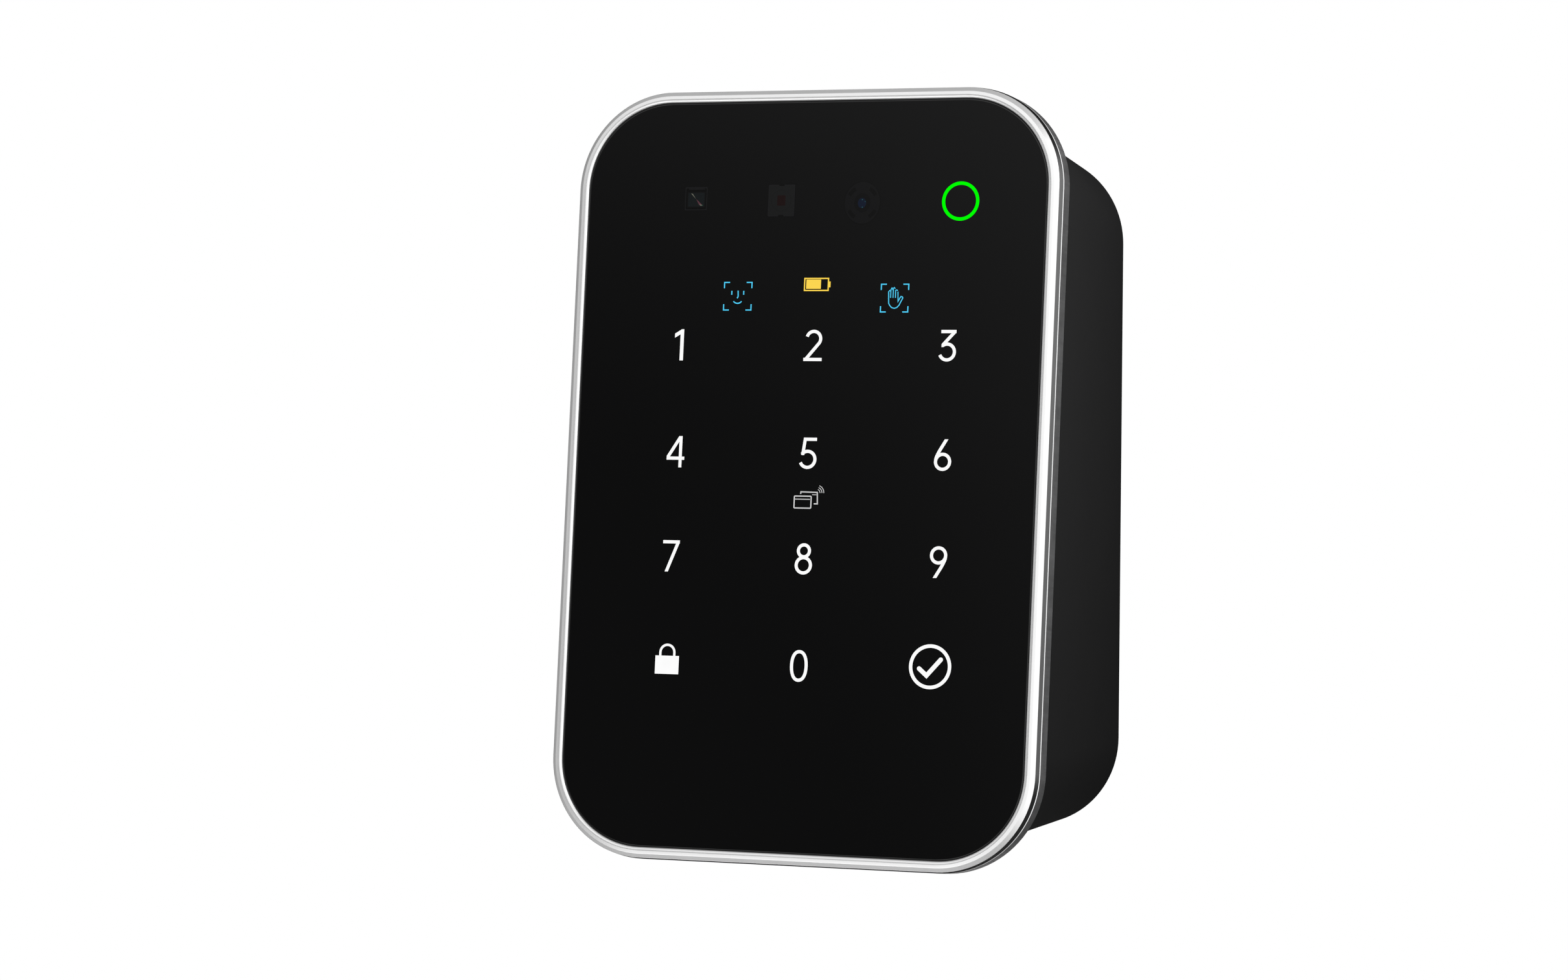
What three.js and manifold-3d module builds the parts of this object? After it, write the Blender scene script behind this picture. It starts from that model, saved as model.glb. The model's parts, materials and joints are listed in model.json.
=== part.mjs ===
// Wall-mounted access terminal with a touch keypad, face and palm sensors and a card reader.
// Millimetres. +X is right for the person using it, +Y goes into the wall, +Z is up.
// The origin is on the wall plane, at the middle of the housing's back outline.
import * as THREE from 'three';
import Module from 'manifold-3d';
import { mergeVertices } from 'three/addons/utils/BufferGeometryUtils.js';

const wasm = await Module();
wasm.setup();

// ---------------------------------------------------------------- driving dimensions

const TILT = THREE.MathUtils.degToRad(5.7); // the glass leans back at the top
const GAP = 0.3; // clearance between neighbouring pieces

const GLASS = { width: 81.9, height: 125, radius: 14.6, thickness: 1.8 };
const TRIM_WIDTH = 2.1; // bezel ring seen from the front
const TRIM_DRAFT = 0.2; // the bezel's side leans in by this much towards the front
const FRAME = {
  width: GLASS.width + 2 * TRIM_WIDTH,
  height: GLASS.height + 2 * TRIM_WIDTH,
  radius: GLASS.radius + TRIM_WIDTH,
};

// The housing is a drafted tunnel from a tilted front outline to a smaller upright back outline.
const HOUSING_FRONT = { width: 81.2, height: 123.4, radius: 15.9 };
const HOUSING_BACK = { width: 75.2, height: 116.9, radius: 15.6 };
const HOUSING_DEPTH = 56.2; // glass face to back rim, square to the glass
const HOUSING_SHIFT = 2.4; // how far the back outline sits above that line
const RIM_DEPTH = 5.7; // glass face to the housing's front rim
const FLARE = 2.2; // the rim spreads outwards to meet the frame
const FLARE_LENGTH = 0.13; // share of the housing's depth that the flare takes
const WALL = 2.2;
const BACK_RIM_Y = -0.5; // the back rim clears the wall
const RECESS = { lip: 2.5, floorY: -5.5, innerY: -7.7 }; // pocket that hides the wall plate

// Centre of the glass face in the upright frame.
const GLASS_Y = BACK_RIM_Y - HOUSING_DEPTH * Math.cos(TILT);
const GLASS_Z = HOUSING_DEPTH * Math.sin(TILT) - HOUSING_SHIFT;

// Depths behind the glass face, square to it.
const BEZEL = { proud: 0.4, back: 1.6 };
const BAND = { front: 1.9, back: 5.1, thickness: 1.7 };
const TAPE = { front: 2.1, back: 2.4 };
const TOUCH_FILM = { front: 2.1, back: 2.4 };
const LIGHT_GUIDE = { front: 2.7, back: 4.7 };
const KEYPAD_BOARD = { front: 5.0, back: 6.2 };
const ANTENNA = { front: 6.5, back: 6.9 };
const FERRITE = { front: 7.2, back: 7.5 };
const CHASSIS = {
  front: 2.7,
  flangeBack: 5.1,
  floorFront: 8.2,
  back: 10,
  skirt: [75.2, 117.2, 13], // width, height and corner radius inside the housing's rim
  skirtWall: 1.4,
  ribbonWindow: [20, 9, 2, 0.9, 50],
};
const SENSOR_FRONT = 2.2;
const SENSOR_BOARD = { front: 6.3, back: 7.3 };

// Face layout, as across and up from the centre of the glass.
const KEY_AREA = { width: 68, height: 74, x: 0.9, z: -5 };
const SENSOR_ROW_Z = 45.8;
const PROJECTOR = { x: -21.3, z: 46.2, width: 4.0, height: 3.9, window: 2.9 };
const IR_LED = { x: -5.9, z: 45.8, width: 4.8, height: 5.2, reflector: 1.75 };
const CAMERA = { x: 8.6, z: 45.4, radius: 3.45, pupil: 1.6, lensBack: 3.6, housing: 8.4 };
const SENSOR_BRACKET = { width: 66, height: 14, radius: 2.5, centreX: 0.9, front: 2.7, back: 5.7 };
const STATUS = { x: 25.9, z: 45.5, outerRadius: 3.26, wall: 0.62, pipeBack: 4.9 };

// Batteries, four AA cells side by side in a drawer that pulls out of the bottom.
const CELL = { radius: 7.05, length: 49.2, pipRadius: 2.7, pipHeight: 1.2, pitch: 14.7, count: 4 };
const CELL_BOTTOM_Z = -50;
const CELL_Y = -20.1;
const SPRING_WIRE = 0.35; // radius of the contact springs' wire
const DRAWER = { halfWidth: 30.6, frontY: -28.2, backY: -11.5, bottomZ: -54.4, topZ: 6, wall: 1.2 };
const DRAWER_FACE = { frontY: -34.4, backY: -9.8, thickness: 2.4 };
const BAY = { wall: 1.2, clearance: 0.4, bottomZ: -53.4, topZ: 7.8 };
const DRAWER_SCREW = { x: 0, y: -31.5, tipZ: -47 };
const SCREW_BOSS = { radius: 2.9, bottomZ: -53, topZ: -45 };

// Upright electronics.
const MAIN_BOARD = { halfWidth: 30, bottomZ: -52, topZ: 36, frontY: -36.6, backY: -35.0 };
const USB = { x: 0, y: -38.5, width: 9, height: 3.2, length: 7.4, bottomZ: -56.1, wall: 0.35 };
const PORT_COVER = { width: 17, frontY: -43.6, backY: -35.4, thickness: 1.2 };
const RESET = { x: -20, y: -38.5, radius: 1.5, topZ: -54.3 };
const TAMPER = { x: 20, z: 13, radius: 2.0, innerY: -16 };
const CABLE = { x: 0, z: 28, bore: 3.4, hole: 6 };

// Wall plate and what holds the terminal on it.
const PLATE = {
  width: 65,
  bottomZ: -46,
  topZ: 52,
  radius: 9,
  thickness: 2,
  cableWindow: [19, 25, 4, 0, 27],
  slotZ: [46, -38], // heights of the wall screws' slots
  slotX: 14,
  slotRadius: 2.1,
};
const LIFT = 6; // the terminal lifts this far to come off its studs
const STUD = { x: 22, z: 37, neck: 1.7, head: 3.6, shoulder: 2.6 };
const LOCKING_SCREW = { x: 0, y: -3.7, topZ: -43 };
const CASE_SCREW_TOP = { x: 27, z: 44.5, tipY: -22, postRadius: 3.2, postFrontY: -43.5 };
const CASE_SCREW_BOTTOM = { x: 19, y: -48.3, tipZ: -49.5, lugZ: [-55.2, -47] };
const SCREW = { shank: 1.25, head: 2.3, headHeight: 1.3, socket: 1.1, socketDepth: 0.8 };
const SCREW_SINK = 0.05; // a screw head sits this far inside the face round it
const FAR = 80; // reach of a cutting tool that goes right through

// ---------------------------------------------------------------- colours and finishes

const finish = (color, roughness, metalness = 0) =>
  new THREE.MeshStandardMaterial({ color, roughness, metalness });

const FINISH = {
  glass: () => finish(0x0c0d0f, 0.08),
  chrome: () => finish(0xe8e9ea, 0.08, 1),
  satin: () => finish(0x8c8e90, 0.38, 1),
  blackPlastic: () => finish(0x1d1d1f, 0.55),
  innerPlastic: () => finish(0x2b2c2e, 0.6),
  rubber: () => finish(0x161616, 0.85),
  foam: () => finish(0x202020, 0.95),
  clear: () => finish(0xe6eef0, 0.15),
  board: () => finish(0x174a2c, 0.5),
  copper: () => finish(0xb87333, 0.35, 1),
  ferrite: () => finish(0x33322f, 0.8),
  tin: () => finish(0xb9bbbd, 0.3, 1),
  steel: () => finish(0xa5a8ab, 0.35, 1),
  darkSteel: () => finish(0x3a3b3d, 0.4, 1),
  chip: () => finish(0x111112, 0.4),
  led: () => finish(0xf4f1dc, 0.3),
  polyimide: () => finish(0xa8661c, 0.4),
  terminalBlock: () => finish(0x2f6f3e, 0.5),
  cell: () => finish(0x2c3038, 0.35, 0.4),
  galvanised: () => finish(0x9fa3a6, 0.45, 1),
};

// ---------------------------------------------------------------- solids

const CORNER_STEPS = 8; // straight steps in a quarter of a rounded outline

/** Turns a closed geometry into a solid that can be joined and cut. */
function solid(geometry) {
  const bare = geometry.clone();
  bare.deleteAttribute('normal');
  bare.deleteAttribute('uv');
  const merged = mergeVertices(bare, 1e-5);
  const mesh = new wasm.Mesh({
    numProp: 3,
    vertProperties: Float32Array.from(merged.attributes.position.array),
    triVerts: Uint32Array.from(merged.index.array),
  });
  return new wasm.Manifold(mesh);
}

/** Gives a solid's surface back as a geometry. */
function surface(body) {
  const mesh = body.getMesh();
  const geometry = new THREE.BufferGeometry();
  geometry.setAttribute('position', new THREE.BufferAttribute(mesh.vertProperties, 3));
  geometry.setIndex(new THREE.BufferAttribute(mesh.triVerts, 1));
  return geometry;
}

const joined = (...shapes) =>
  surface(shapes.map(solid).reduce((total, next) => total.add(next)));

const cut = (shape, ...tools) =>
  surface(tools.map(solid).reduce((total, tool) => total.subtract(tool), solid(shape)));

const shared = (a, b) => surface(solid(a).intersect(solid(b)));

/** A box between two limits on each axis. */
function block([x0, x1], [y0, y1], [z0, z1]) {
  const geometry = new THREE.BoxGeometry(x1 - x0, y1 - y0, z1 - z0);
  return geometry.translate((x0 + x1) / 2, (y0 + y1) / 2, (z0 + z1) / 2);
}

/** A rod along Y. */
function rodY(radius, [y0, y1], x, z, sides = 20) {
  const geometry = new THREE.CylinderGeometry(radius, radius, y1 - y0, sides);
  return geometry.translate(x, (y0 + y1) / 2, z);
}

/** A rod along Z. */
function rodZ(radius, [z0, z1], x, y, sides = 20) {
  const geometry = new THREE.CylinderGeometry(radius, radius, z1 - z0, sides);
  return geometry.rotateX(Math.PI / 2).translate(x, y, (z0 + z1) / 2);
}

/** Traces a rounded rectangle on a path or shape. */
function traceRounded(path, width, height, radius, x = 0, z = 0) {
  const right = x + width / 2 - radius;
  const left = x - width / 2 + radius;
  const top = z + height / 2 - radius;
  const bottom = z - height / 2 + radius;
  path.absarc(right, top, radius, 0, Math.PI / 2, false);
  path.absarc(left, top, radius, Math.PI / 2, Math.PI, false);
  path.absarc(left, bottom, radius, Math.PI, 1.5 * Math.PI, false);
  path.absarc(right, bottom, radius, 1.5 * Math.PI, 2 * Math.PI, false);
  path.closePath();
  return path;
}

const roundedShape = (...sizes) => traceRounded(new THREE.Shape(), ...sizes);
const roundedHole = (...sizes) => traceRounded(new THREE.Path(), ...sizes);

/** A plate in the XZ plane between two Y limits. */
function plate(shape, [y0, y1], steps = CORNER_STEPS) {
  const geometry = new THREE.ExtrudeGeometry(shape, {
    depth: y1 - y0,
    bevelEnabled: false,
    curveSegments: steps / 2,
  });
  return geometry.rotateX(Math.PI / 2).translate(0, y1, 0);
}

/** A rounded plate with any rounded windows cut in it; windows are lists of sizes. */
function windowPlate(outer, windows, limits, steps = CORNER_STEPS) {
  const shape = roundedShape(...outer);
  for (const window of windows) {
    shape.holes.push(roundedHole(...window));
  }
  return plate(shape, limits, steps);
}

/** A shape drawn in the YZ plane, drawn out along X. */
function alongX(shape, [x0, x1]) {
  const geometry = new THREE.ExtrudeGeometry(shape, { depth: x1 - x0, bevelEnabled: false });
  const axes = new THREE.Matrix4().makeBasis(
    new THREE.Vector3(0, 1, 0),
    new THREE.Vector3(0, 0, 1),
    new THREE.Vector3(1, 0, 0),
  );
  return geometry.applyMatrix4(axes).translate(x0, 0, 0);
}

/** Points of a rounded rectangle, anticlockwise, the same number for every size. */
function outline({ width, height, radius }, inset = 0) {
  const corner = Math.max(radius - inset, 0.1);
  const right = width / 2 - inset - corner;
  const top = height / 2 - inset - corner;
  const centres = [[right, top], [-right, top], [-right, -top], [right, -top]];
  const points = [];
  centres.forEach(([x, z], quarter) => {
    for (let step = 0; step <= CORNER_STEPS; step += 1) {
      const angle = (quarter + step / CORNER_STEPS) * Math.PI / 2;
      points.push(new THREE.Vector2(x + corner * Math.cos(angle), z + corner * Math.sin(angle)));
    }
  });
  return points;
}

/** A skin through rings of equal length; the ends are capped, or meet if looped. */
function loft(rings, looped = false) {
  const count = rings[0].length;
  const positions = rings.flat().flatMap((p) => [p.x, p.y, p.z]);
  const index = [];
  const last = looped ? rings.length : rings.length - 1;
  for (let ring = 0; ring < last; ring += 1) {
    const here = ring * count;
    const next = ((ring + 1) % rings.length) * count;
    for (let k = 0; k < count; k += 1) {
      const after = (k + 1) % count;
      index.push(here + k, next + k, here + after);
      index.push(here + after, next + k, next + after);
    }
  }
  if (!looped) {
    const end = (rings.length - 1) * count;
    for (let k = 1; k < count - 1; k += 1) {
      index.push(0, k, k + 1);
      index.push(end, end + k + 1, end + k);
    }
  }
  const geometry = new THREE.BufferGeometry();
  geometry.setAttribute('position', new THREE.Float32BufferAttribute(positions, 3));
  geometry.setIndex(index);
  return geometry;
}

/** A ring that follows the frame's outline, from a closed profile of [inset, depth] points. */
function frameRing(profile) {
  const rings = profile.map(([inset, depth]) =>
    outline(FRAME, inset).map((p) => new THREE.Vector3(p.x, depth, p.y)));
  return loft(rings, true);
}

// ---------------------------------------------------------------- housing surface

const toUpright = new THREE.Matrix4()
  .makeRotationX(-TILT)
  .setPosition(0, GLASS_Y, GLASS_Z);

const upright = (geometry) => geometry.applyMatrix4(toUpright);

/** A ring of the housing's drafted wall, moved in by inset; share 0 is the rim, 1 the back. */
function wallRing(share, inset) {
  const front = outline(HOUSING_FRONT, inset);
  const back = outline(HOUSING_BACK, inset);
  return front.map((p, k) => {
    const start = new THREE.Vector3(p.x, RIM_DEPTH, p.y).applyMatrix4(toUpright);
    const end = new THREE.Vector3(back[k].x, BACK_RIM_Y, back[k].y);
    return start.lerp(end, share);
  });
}

/** The same wall cut square at one distance from the wall plane. */
function wallRingAt(y, inset) {
  const front = wallRing(0, inset);
  const back = wallRing(1, inset);
  return front.map((p, k) => p.lerp(back[k], (y - p.y) / (back[k].y - p.y)));
}

/** The flare's extra width near the rim. */
const flareAt = (share) => FLARE * Math.max(0, 1 - share / FLARE_LENGTH) ** 2.4;

function housingOutside() {
  const shares = [0, 0.012, 0.026, 0.044, 0.066, 0.095, FLARE_LENGTH, 1];
  return loft(shares.map((share) => wallRing(share, -flareAt(share))));
}

/** The space inside the drafted wall, from ahead of the rim to the back wall. */
const housingInside = (inset, backY) => loft([wallRing(-0.05, inset), wallRingAt(backY, inset)]);

// ---------------------------------------------------------------- assembly

const terminal = new THREE.Group();
const front = new THREE.Group(); // x across, y behind the glass, z up the glass
front.position.set(0, GLASS_Y, GLASS_Z);
front.rotation.x = -TILT;
terminal.add(front);

function add(name, geometry, material, parent = terminal) {
  const mesh = new THREE.Mesh(geometry, material);
  mesh.name = name;
  parent.add(mesh);
  return mesh;
}

function addFront(name, geometry, material) {
  return add(name, geometry, material, front);
}

// ---------------------------------------------------------------- front face

function buildFace() {
  const glassInset = TRIM_WIDTH + 0.15;
  const slopeFoot = TRIM_WIDTH - 0.15;
  const glassSize = [GLASS.width - 0.3, GLASS.height - 0.3, GLASS.radius - 0.15];
  addFront('front_glass', windowPlate(glassSize, [], [0, GLASS.thickness]), FINISH.glass());

  addFront('chrome_bezel', frameRing([
    [0, BEZEL.back],
    [slopeFoot, BEZEL.back],
    [slopeFoot, -0.05],
    [TRIM_DRAFT + 1.3, -BEZEL.proud],
    [TRIM_DRAFT + 0.7, -BEZEL.proud + 0.1],
    [TRIM_DRAFT, 0.15],
  ]), FINISH.chrome());

  addFront('side_frame', frameRing([
    [0, BAND.back - GAP],
    [GAP, BAND.back],
    [BAND.thickness, BAND.back],
    [BAND.thickness, BAND.front],
    [0, BAND.front],
  ]), FINISH.satin());

  addFront('glass_tape', frameRing([
    [glassInset + 0.6, TAPE.back],
    [glassInset + 2.2, TAPE.back],
    [glassInset + 2.2, TAPE.front],
    [glassInset + 0.6, TAPE.front],
  ]), FINISH.foam());
}

/** Touch film, light guide, keypad board, its side-firing lamps and the card reader's coil. */
function buildKeypad() {
  const { width, height, x, z } = KEY_AREA;
  const film = [width + 1, height + 1, 3, x, z];
  addFront('touch_film', windowPlate(film, [], [TOUCH_FILM.front, TOUCH_FILM.back], 4), FINISH.foam());

  const guide = [width, height, 3, x, z];
  addFront('light_guide', windowPlate(guide, [], [LIGHT_GUIDE.front, LIGHT_GUIDE.back], 4), FINISH.clear());

  const board = [width, height + 6, 3, x, z - 1.5];
  const boardLimits = [KEYPAD_BOARD.front, KEYPAD_BOARD.back];
  addFront('keypad_board', windowPlate(board, [], boardLimits, 4), FINISH.board());

  const lampTop = z - height / 2 - GAP;
  for (const [name, side] of [['key_lamp_left', -1], ['key_lamp_right', 1]]) {
    const middle = x + side * width / 4;
    const lamp = block(
      [middle - 2, middle + 2],
      [LIGHT_GUIDE.front + 0.2, LIGHT_GUIDE.back],
      [lampTop - 1.4, lampTop],
    );
    addFront(name, lamp, FINISH.led());
  }

  const coil = windowPlate([54, 40, 5, x, z], [[46, 32, 3, x, z]], [ANTENNA.front, ANTENNA.back], 4);
  addFront('card_antenna', coil, FINISH.copper());
  const sheet = windowPlate([57, 43, 3, x, z], [], [FERRITE.front, FERRITE.back], 4);
  addFront('ferrite_sheet', sheet, FINISH.ferrite());
}

/** A closed ring-shaped pipe along Y. */
const tubeY = (outer, inner, limits, x, z, sides = 24) =>
  cut(rodY(outer, limits, x, z, sides), rodY(inner, [limits[0] - 1, limits[1] + 1], x, z, sides));

/** Projector, infrared lamp, camera and status lamp on one board, held in one bracket. */
function buildSensors() {
  const seat = SENSOR_BOARD.front - GAP;
  const square = ({ x, z, width, height }, grow) => [
    [x - width / 2 - grow, x + width / 2 + grow],
    [z - height / 2 - grow, z + height / 2 + grow],
  ];

  const [projectorX, projectorZ] = square(PROJECTOR, 0);
  const projector = cut(
    block(projectorX, [SENSOR_FRONT, seat], projectorZ),
    block(
      [PROJECTOR.x - PROJECTOR.window / 2, PROJECTOR.x + PROJECTOR.window / 2],
      [SENSOR_FRONT - 1, SENSOR_FRONT + 0.4],
      [PROJECTOR.z - 1.15, PROJECTOR.z + 1.15],
    ),
  );
  addFront('dot_projector', projector, FINISH.chip());

  const [lampX, lampZ] = square(IR_LED, 0);
  const lamp = cut(
    block(lampX, [SENSOR_FRONT, seat], lampZ),
    rodY(IR_LED.reflector, [SENSOR_FRONT - 1, SENSOR_FRONT + 0.7], IR_LED.x, IR_LED.z),
  );
  addFront('infrared_lamp', lamp, FINISH.chip());

  const { lensBack } = CAMERA;
  const lens = cut(
    rodY(CAMERA.radius, [SENSOR_FRONT, lensBack], CAMERA.x, CAMERA.z, 28),
    rodY(CAMERA.pupil, [SENSOR_FRONT - 1, SENSOR_FRONT + 0.7], CAMERA.x, CAMERA.z, 20),
  );
  addFront('camera_lens', lens, FINISH.chip());
  const half = CAMERA.housing / 2;
  const cameraBody = block(
    [CAMERA.x - half, CAMERA.x + half],
    [lensBack + GAP, seat],
    [CAMERA.z - half, CAMERA.z + half],
  );
  addFront('camera_body', cameraBody, FINISH.chip());

  const { x, z, outerRadius, wall, pipeBack } = STATUS;
  const pipe = tubeY(outerRadius, outerRadius - wall, [SENSOR_FRONT, pipeBack], x, z);
  addFront('status_light_pipe', pipe, FINISH.clear());
  const lampOnBoard = block([x - 1.6, x + 1.6], [pipeBack + GAP, seat], [z - 1.4, z + 1.4]);
  addFront('status_lamp', lampOnBoard, FINISH.led());

  const [projectorHoleX, projectorHoleZ] = square(PROJECTOR, GAP);
  const [lampHoleX, lampHoleZ] = square(IR_LED, GAP);
  const through = [0, 9];
  const bodyHole = half + GAP;
  const { width, height, radius, centreX } = SENSOR_BRACKET;
  const bracketLimits = [SENSOR_BRACKET.front, SENSOR_BRACKET.back];
  const bracket = cut(
    windowPlate([width, height, radius, centreX, SENSOR_ROW_Z], [], bracketLimits, 4),
    block(projectorHoleX, through, projectorHoleZ),
    block(lampHoleX, through, lampHoleZ),
    rodY(CAMERA.radius + GAP, through, CAMERA.x, CAMERA.z),
    block(
      [CAMERA.x - bodyHole, CAMERA.x + bodyHole],
      [lensBack, through[1]],
      [CAMERA.z - bodyHole, CAMERA.z + bodyHole],
    ),
    rodY(outerRadius + GAP, through, x, z),
  );
  addFront('sensor_bracket', bracket, FINISH.innerPlastic());

  const boardSize = [width, height + 1, 2, centreX, SENSOR_ROW_Z];
  const board = windowPlate(boardSize, [], [SENSOR_BOARD.front, SENSOR_BOARD.back], 4);
  addFront('sensor_board', board, FINISH.board());
}

/** Carrier behind the glass: flange, skirt, floor, and the posts and lugs the case screws bite. */
function buildChassis() {
  const flangeInset = BAND.thickness + GAP;
  const flange = [
    FRAME.width - 2 * flangeInset,
    FRAME.height - 2 * flangeInset,
    FRAME.radius - flangeInset,
  ];
  const { skirt, skirtWall, ribbonWindow } = CHASSIS;
  const opening = [skirt[0] - 2 * skirtWall, skirt[1] - 2 * skirtWall, skirt[2] - skirtWall];
  const tray = joined(
    windowPlate(flange, [opening], [CHASSIS.front, CHASSIS.flangeBack]),
    windowPlate(skirt, [opening], [CHASSIS.flangeBack - 1, CHASSIS.back]),
    windowPlate(skirt, [ribbonWindow], [CHASSIS.floorFront, CHASSIS.back]),
  );
  upright(tray);

  const pieces = [tray];
  for (const side of [-1, 1]) {
    const postX = side * CASE_SCREW_TOP.x;
    const postLimits = [CASE_SCREW_TOP.postFrontY, RECESS.innerY - 1.7];
    pieces.push(rodY(CASE_SCREW_TOP.postRadius, postLimits, postX, CASE_SCREW_TOP.z, 16));
    const lugX = side * CASE_SCREW_BOTTOM.x;
    pieces.push(block([lugX - 4, lugX + 4], [-53.5, CASE_SCREW_BOTTOM.y + 4], CASE_SCREW_BOTTOM.lugZ));
  }
  const holes = [];
  for (const side of [-1, 1]) {
    const bore = SCREW.shank + GAP;
    const postX = side * CASE_SCREW_TOP.x;
    const lugX = side * CASE_SCREW_BOTTOM.x;
    holes.push(rodY(bore, [CASE_SCREW_TOP.tipY - 2, 0], postX, CASE_SCREW_TOP.z, 12));
    holes.push(rodZ(bore, [-60, CASE_SCREW_BOTTOM.tipZ + 1.5], lugX, CASE_SCREW_BOTTOM.y, 12));
  }
  add('front_chassis', cut(joined(...pieces), ...holes), FINISH.innerPlastic());
}

// ---------------------------------------------------------------- housing

/** Keyhole in the back wall: the stud's head enters low and its neck rides up the slot. */
function keyhole(side) {
  const x = side * STUD.x;
  const slot = STUD.neck + GAP;
  const limits = [-20, 0];
  return [
    rodY(STUD.head + 0.6, limits, x, STUD.z - LIFT),
    rodY(slot, limits, x, STUD.z),
    block([x - slot, x + slot], limits, [STUD.z - LIFT, STUD.z]),
  ];
}

const GASKET_GROOVE = { inner: 1.0, width: 1.5, depth: 1.5 };

/** A closed ring in the housing's front rim, from limits counted from the inner wall. */
function rimRing(nearInset, farInset, frontDepth, backDepth) {
  const profile = [
    [nearInset, backDepth],
    [farInset, backDepth],
    [farInset, frontDepth],
    [nearInset, frontDepth],
  ];
  const rings = profile.map(([inset, depth]) =>
    outline(HOUSING_FRONT, inset).map((p) => new THREE.Vector3(p.x, depth, p.y)));
  return loft(rings, true);
}

function drawerOpening(grow) {
  const half = DRAWER.halfWidth + BAY.clearance + grow;
  const face = DRAWER_FACE;
  return block([-half, half], [face.frontY - grow, face.backY + grow], [-FAR, -40]);
}

/** The top of a counterbore for a screw head in the bottom face. */
const headSeat = (floorZ) => floorZ + SCREW_SINK + SCREW.headHeight + GAP;

function buildHousing() {
  const grooveInner = WALL - GASKET_GROOVE.inner;
  const groove = upright(rimRing(
    grooveInner - GASKET_GROOVE.width,
    grooveInner,
    RIM_DEPTH - 3,
    RIM_DEPTH + GASKET_GROOVE.depth,
  ));
  const back = HOUSING_BACK;
  const recess = windowPlate(
    [back.width - 2 * RECESS.lip, back.height - 2 * RECESS.lip, back.radius - RECESS.lip],
    [],
    [RECESS.floorY, 5],
  );
  const tools = [
    housingInside(WALL, RECESS.innerY),
    recess,
    groove,
    drawerOpening(GAP),
    rodY(CABLE.hole, [-20, 0], CABLE.x, CABLE.z),
    rodY(TAMPER.radius + 0.4, [-20, 0], TAMPER.x, TAMPER.z),
    ...keyhole(-1),
    ...keyhole(1),
  ];
  // Bottom face: port slot and the cover's pocket, reset hole and screw holes.
  const floorZ = wallRingAt(USB.y, 0).reduce((low, p) => Math.min(low, p.z), 0);
  const seatZ = headSeat(floorZ);
  const cover = PORT_COVER;
  tools.push(block(
    [-cover.width / 2 - GAP, cover.width / 2 + GAP],
    [cover.frontY - GAP, cover.backY + GAP],
    [-FAR, floorZ + cover.thickness + GAP],
  ));
  const slotHalfWidth = USB.width / 2 + 0.4;
  tools.push(block(
    [USB.x - slotHalfWidth, USB.x + slotHalfWidth],
    [USB.y - USB.height / 2 - GAP, USB.y + USB.height / 2 + GAP],
    [-FAR, -54],
  ));
  tools.push(rodZ(RESET.radius + GAP, [-FAR, -52], RESET.x, RESET.y));
  for (const side of [-1, 1]) {
    const bore = SCREW.shank + GAP;
    const head = SCREW.head + GAP;
    const { x, y } = CASE_SCREW_BOTTOM;
    tools.push(rodZ(bore, [-FAR, -52], side * x, y, 12));
    tools.push(rodZ(head, [-FAR, seatZ], side * x, y, 16));
    tools.push(rodY(bore, [-20, 0], side * CASE_SCREW_TOP.x, CASE_SCREW_TOP.z, 12));
    tools.push(rodY(head, [RECESS.floorY - 0.9, 0], side * CASE_SCREW_TOP.x, CASE_SCREW_TOP.z, 16));
  }
  const lock = LOCKING_SCREW;
  tools.push(rodZ(SCREW.shank + GAP, [-FAR, -52], lock.x, lock.y, 12));
  tools.push(rodZ(SCREW.head + GAP, [-FAR, seatZ], lock.x, lock.y, 16));
  add('rear_housing', cut(housingOutside(), ...tools), FINISH.blackPlastic());

  const gasket = rimRing(
    grooveInner - GASKET_GROOVE.width + GAP,
    grooveInner - GAP,
    RIM_DEPTH - GAP,
    RIM_DEPTH + GASKET_GROOVE.depth - GAP,
  );
  addFront('rim_gasket', gasket, FINISH.rubber());
  return floorZ;
}

/** A socket-head screw along Z whose head is at the bottom. */
function screwUp(headZ, tipZ, x, y) {
  const socket = rodZ(SCREW.socket, [headZ - 1, headZ + SCREW.socketDepth], x, y, 6);
  return cut(joined(
    rodZ(SCREW.head, [headZ, headZ + SCREW.headHeight], x, y, 20),
    rodZ(SCREW.shank, [headZ + SCREW.headHeight - 0.5, tipZ], x, y, 12),
  ), socket);
}

/** A socket-head screw along Y whose head faces the wall. */
function screwIn(headY, tipY, x, z) {
  const socket = rodY(SCREW.socket, [headY - SCREW.socketDepth, headY + 1], x, z, 6);
  return cut(joined(
    rodY(SCREW.head, [headY - SCREW.headHeight, headY], x, z, 20),
    rodY(SCREW.shank, [tipY, headY - SCREW.headHeight + 0.5], x, z, 12),
  ), socket);
}

function buildScrews(floorZ) {
  const topHeadY = RECESS.floorY + 0.7;
  for (const [name, side] of [['left', -1], ['right', 1]]) {
    const { tipY } = CASE_SCREW_TOP;
    const top = screwIn(topHeadY, tipY, side * CASE_SCREW_TOP.x, CASE_SCREW_TOP.z);
    add(`case_screw_top_${name}`, top, FINISH.darkSteel());
    const { x, y, tipZ } = CASE_SCREW_BOTTOM;
    add(`case_screw_bottom_${name}`, screwUp(floorZ, tipZ, side * x, y), FINISH.darkSteel());
  }
  const { x, y, topZ } = LOCKING_SCREW;
  const lock = screwUp(floorZ + SCREW_SINK, topZ, x, y);
  add('locking_screw', lock, FINISH.steel());
}

// ---------------------------------------------------------------- electronics in the housing

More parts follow.
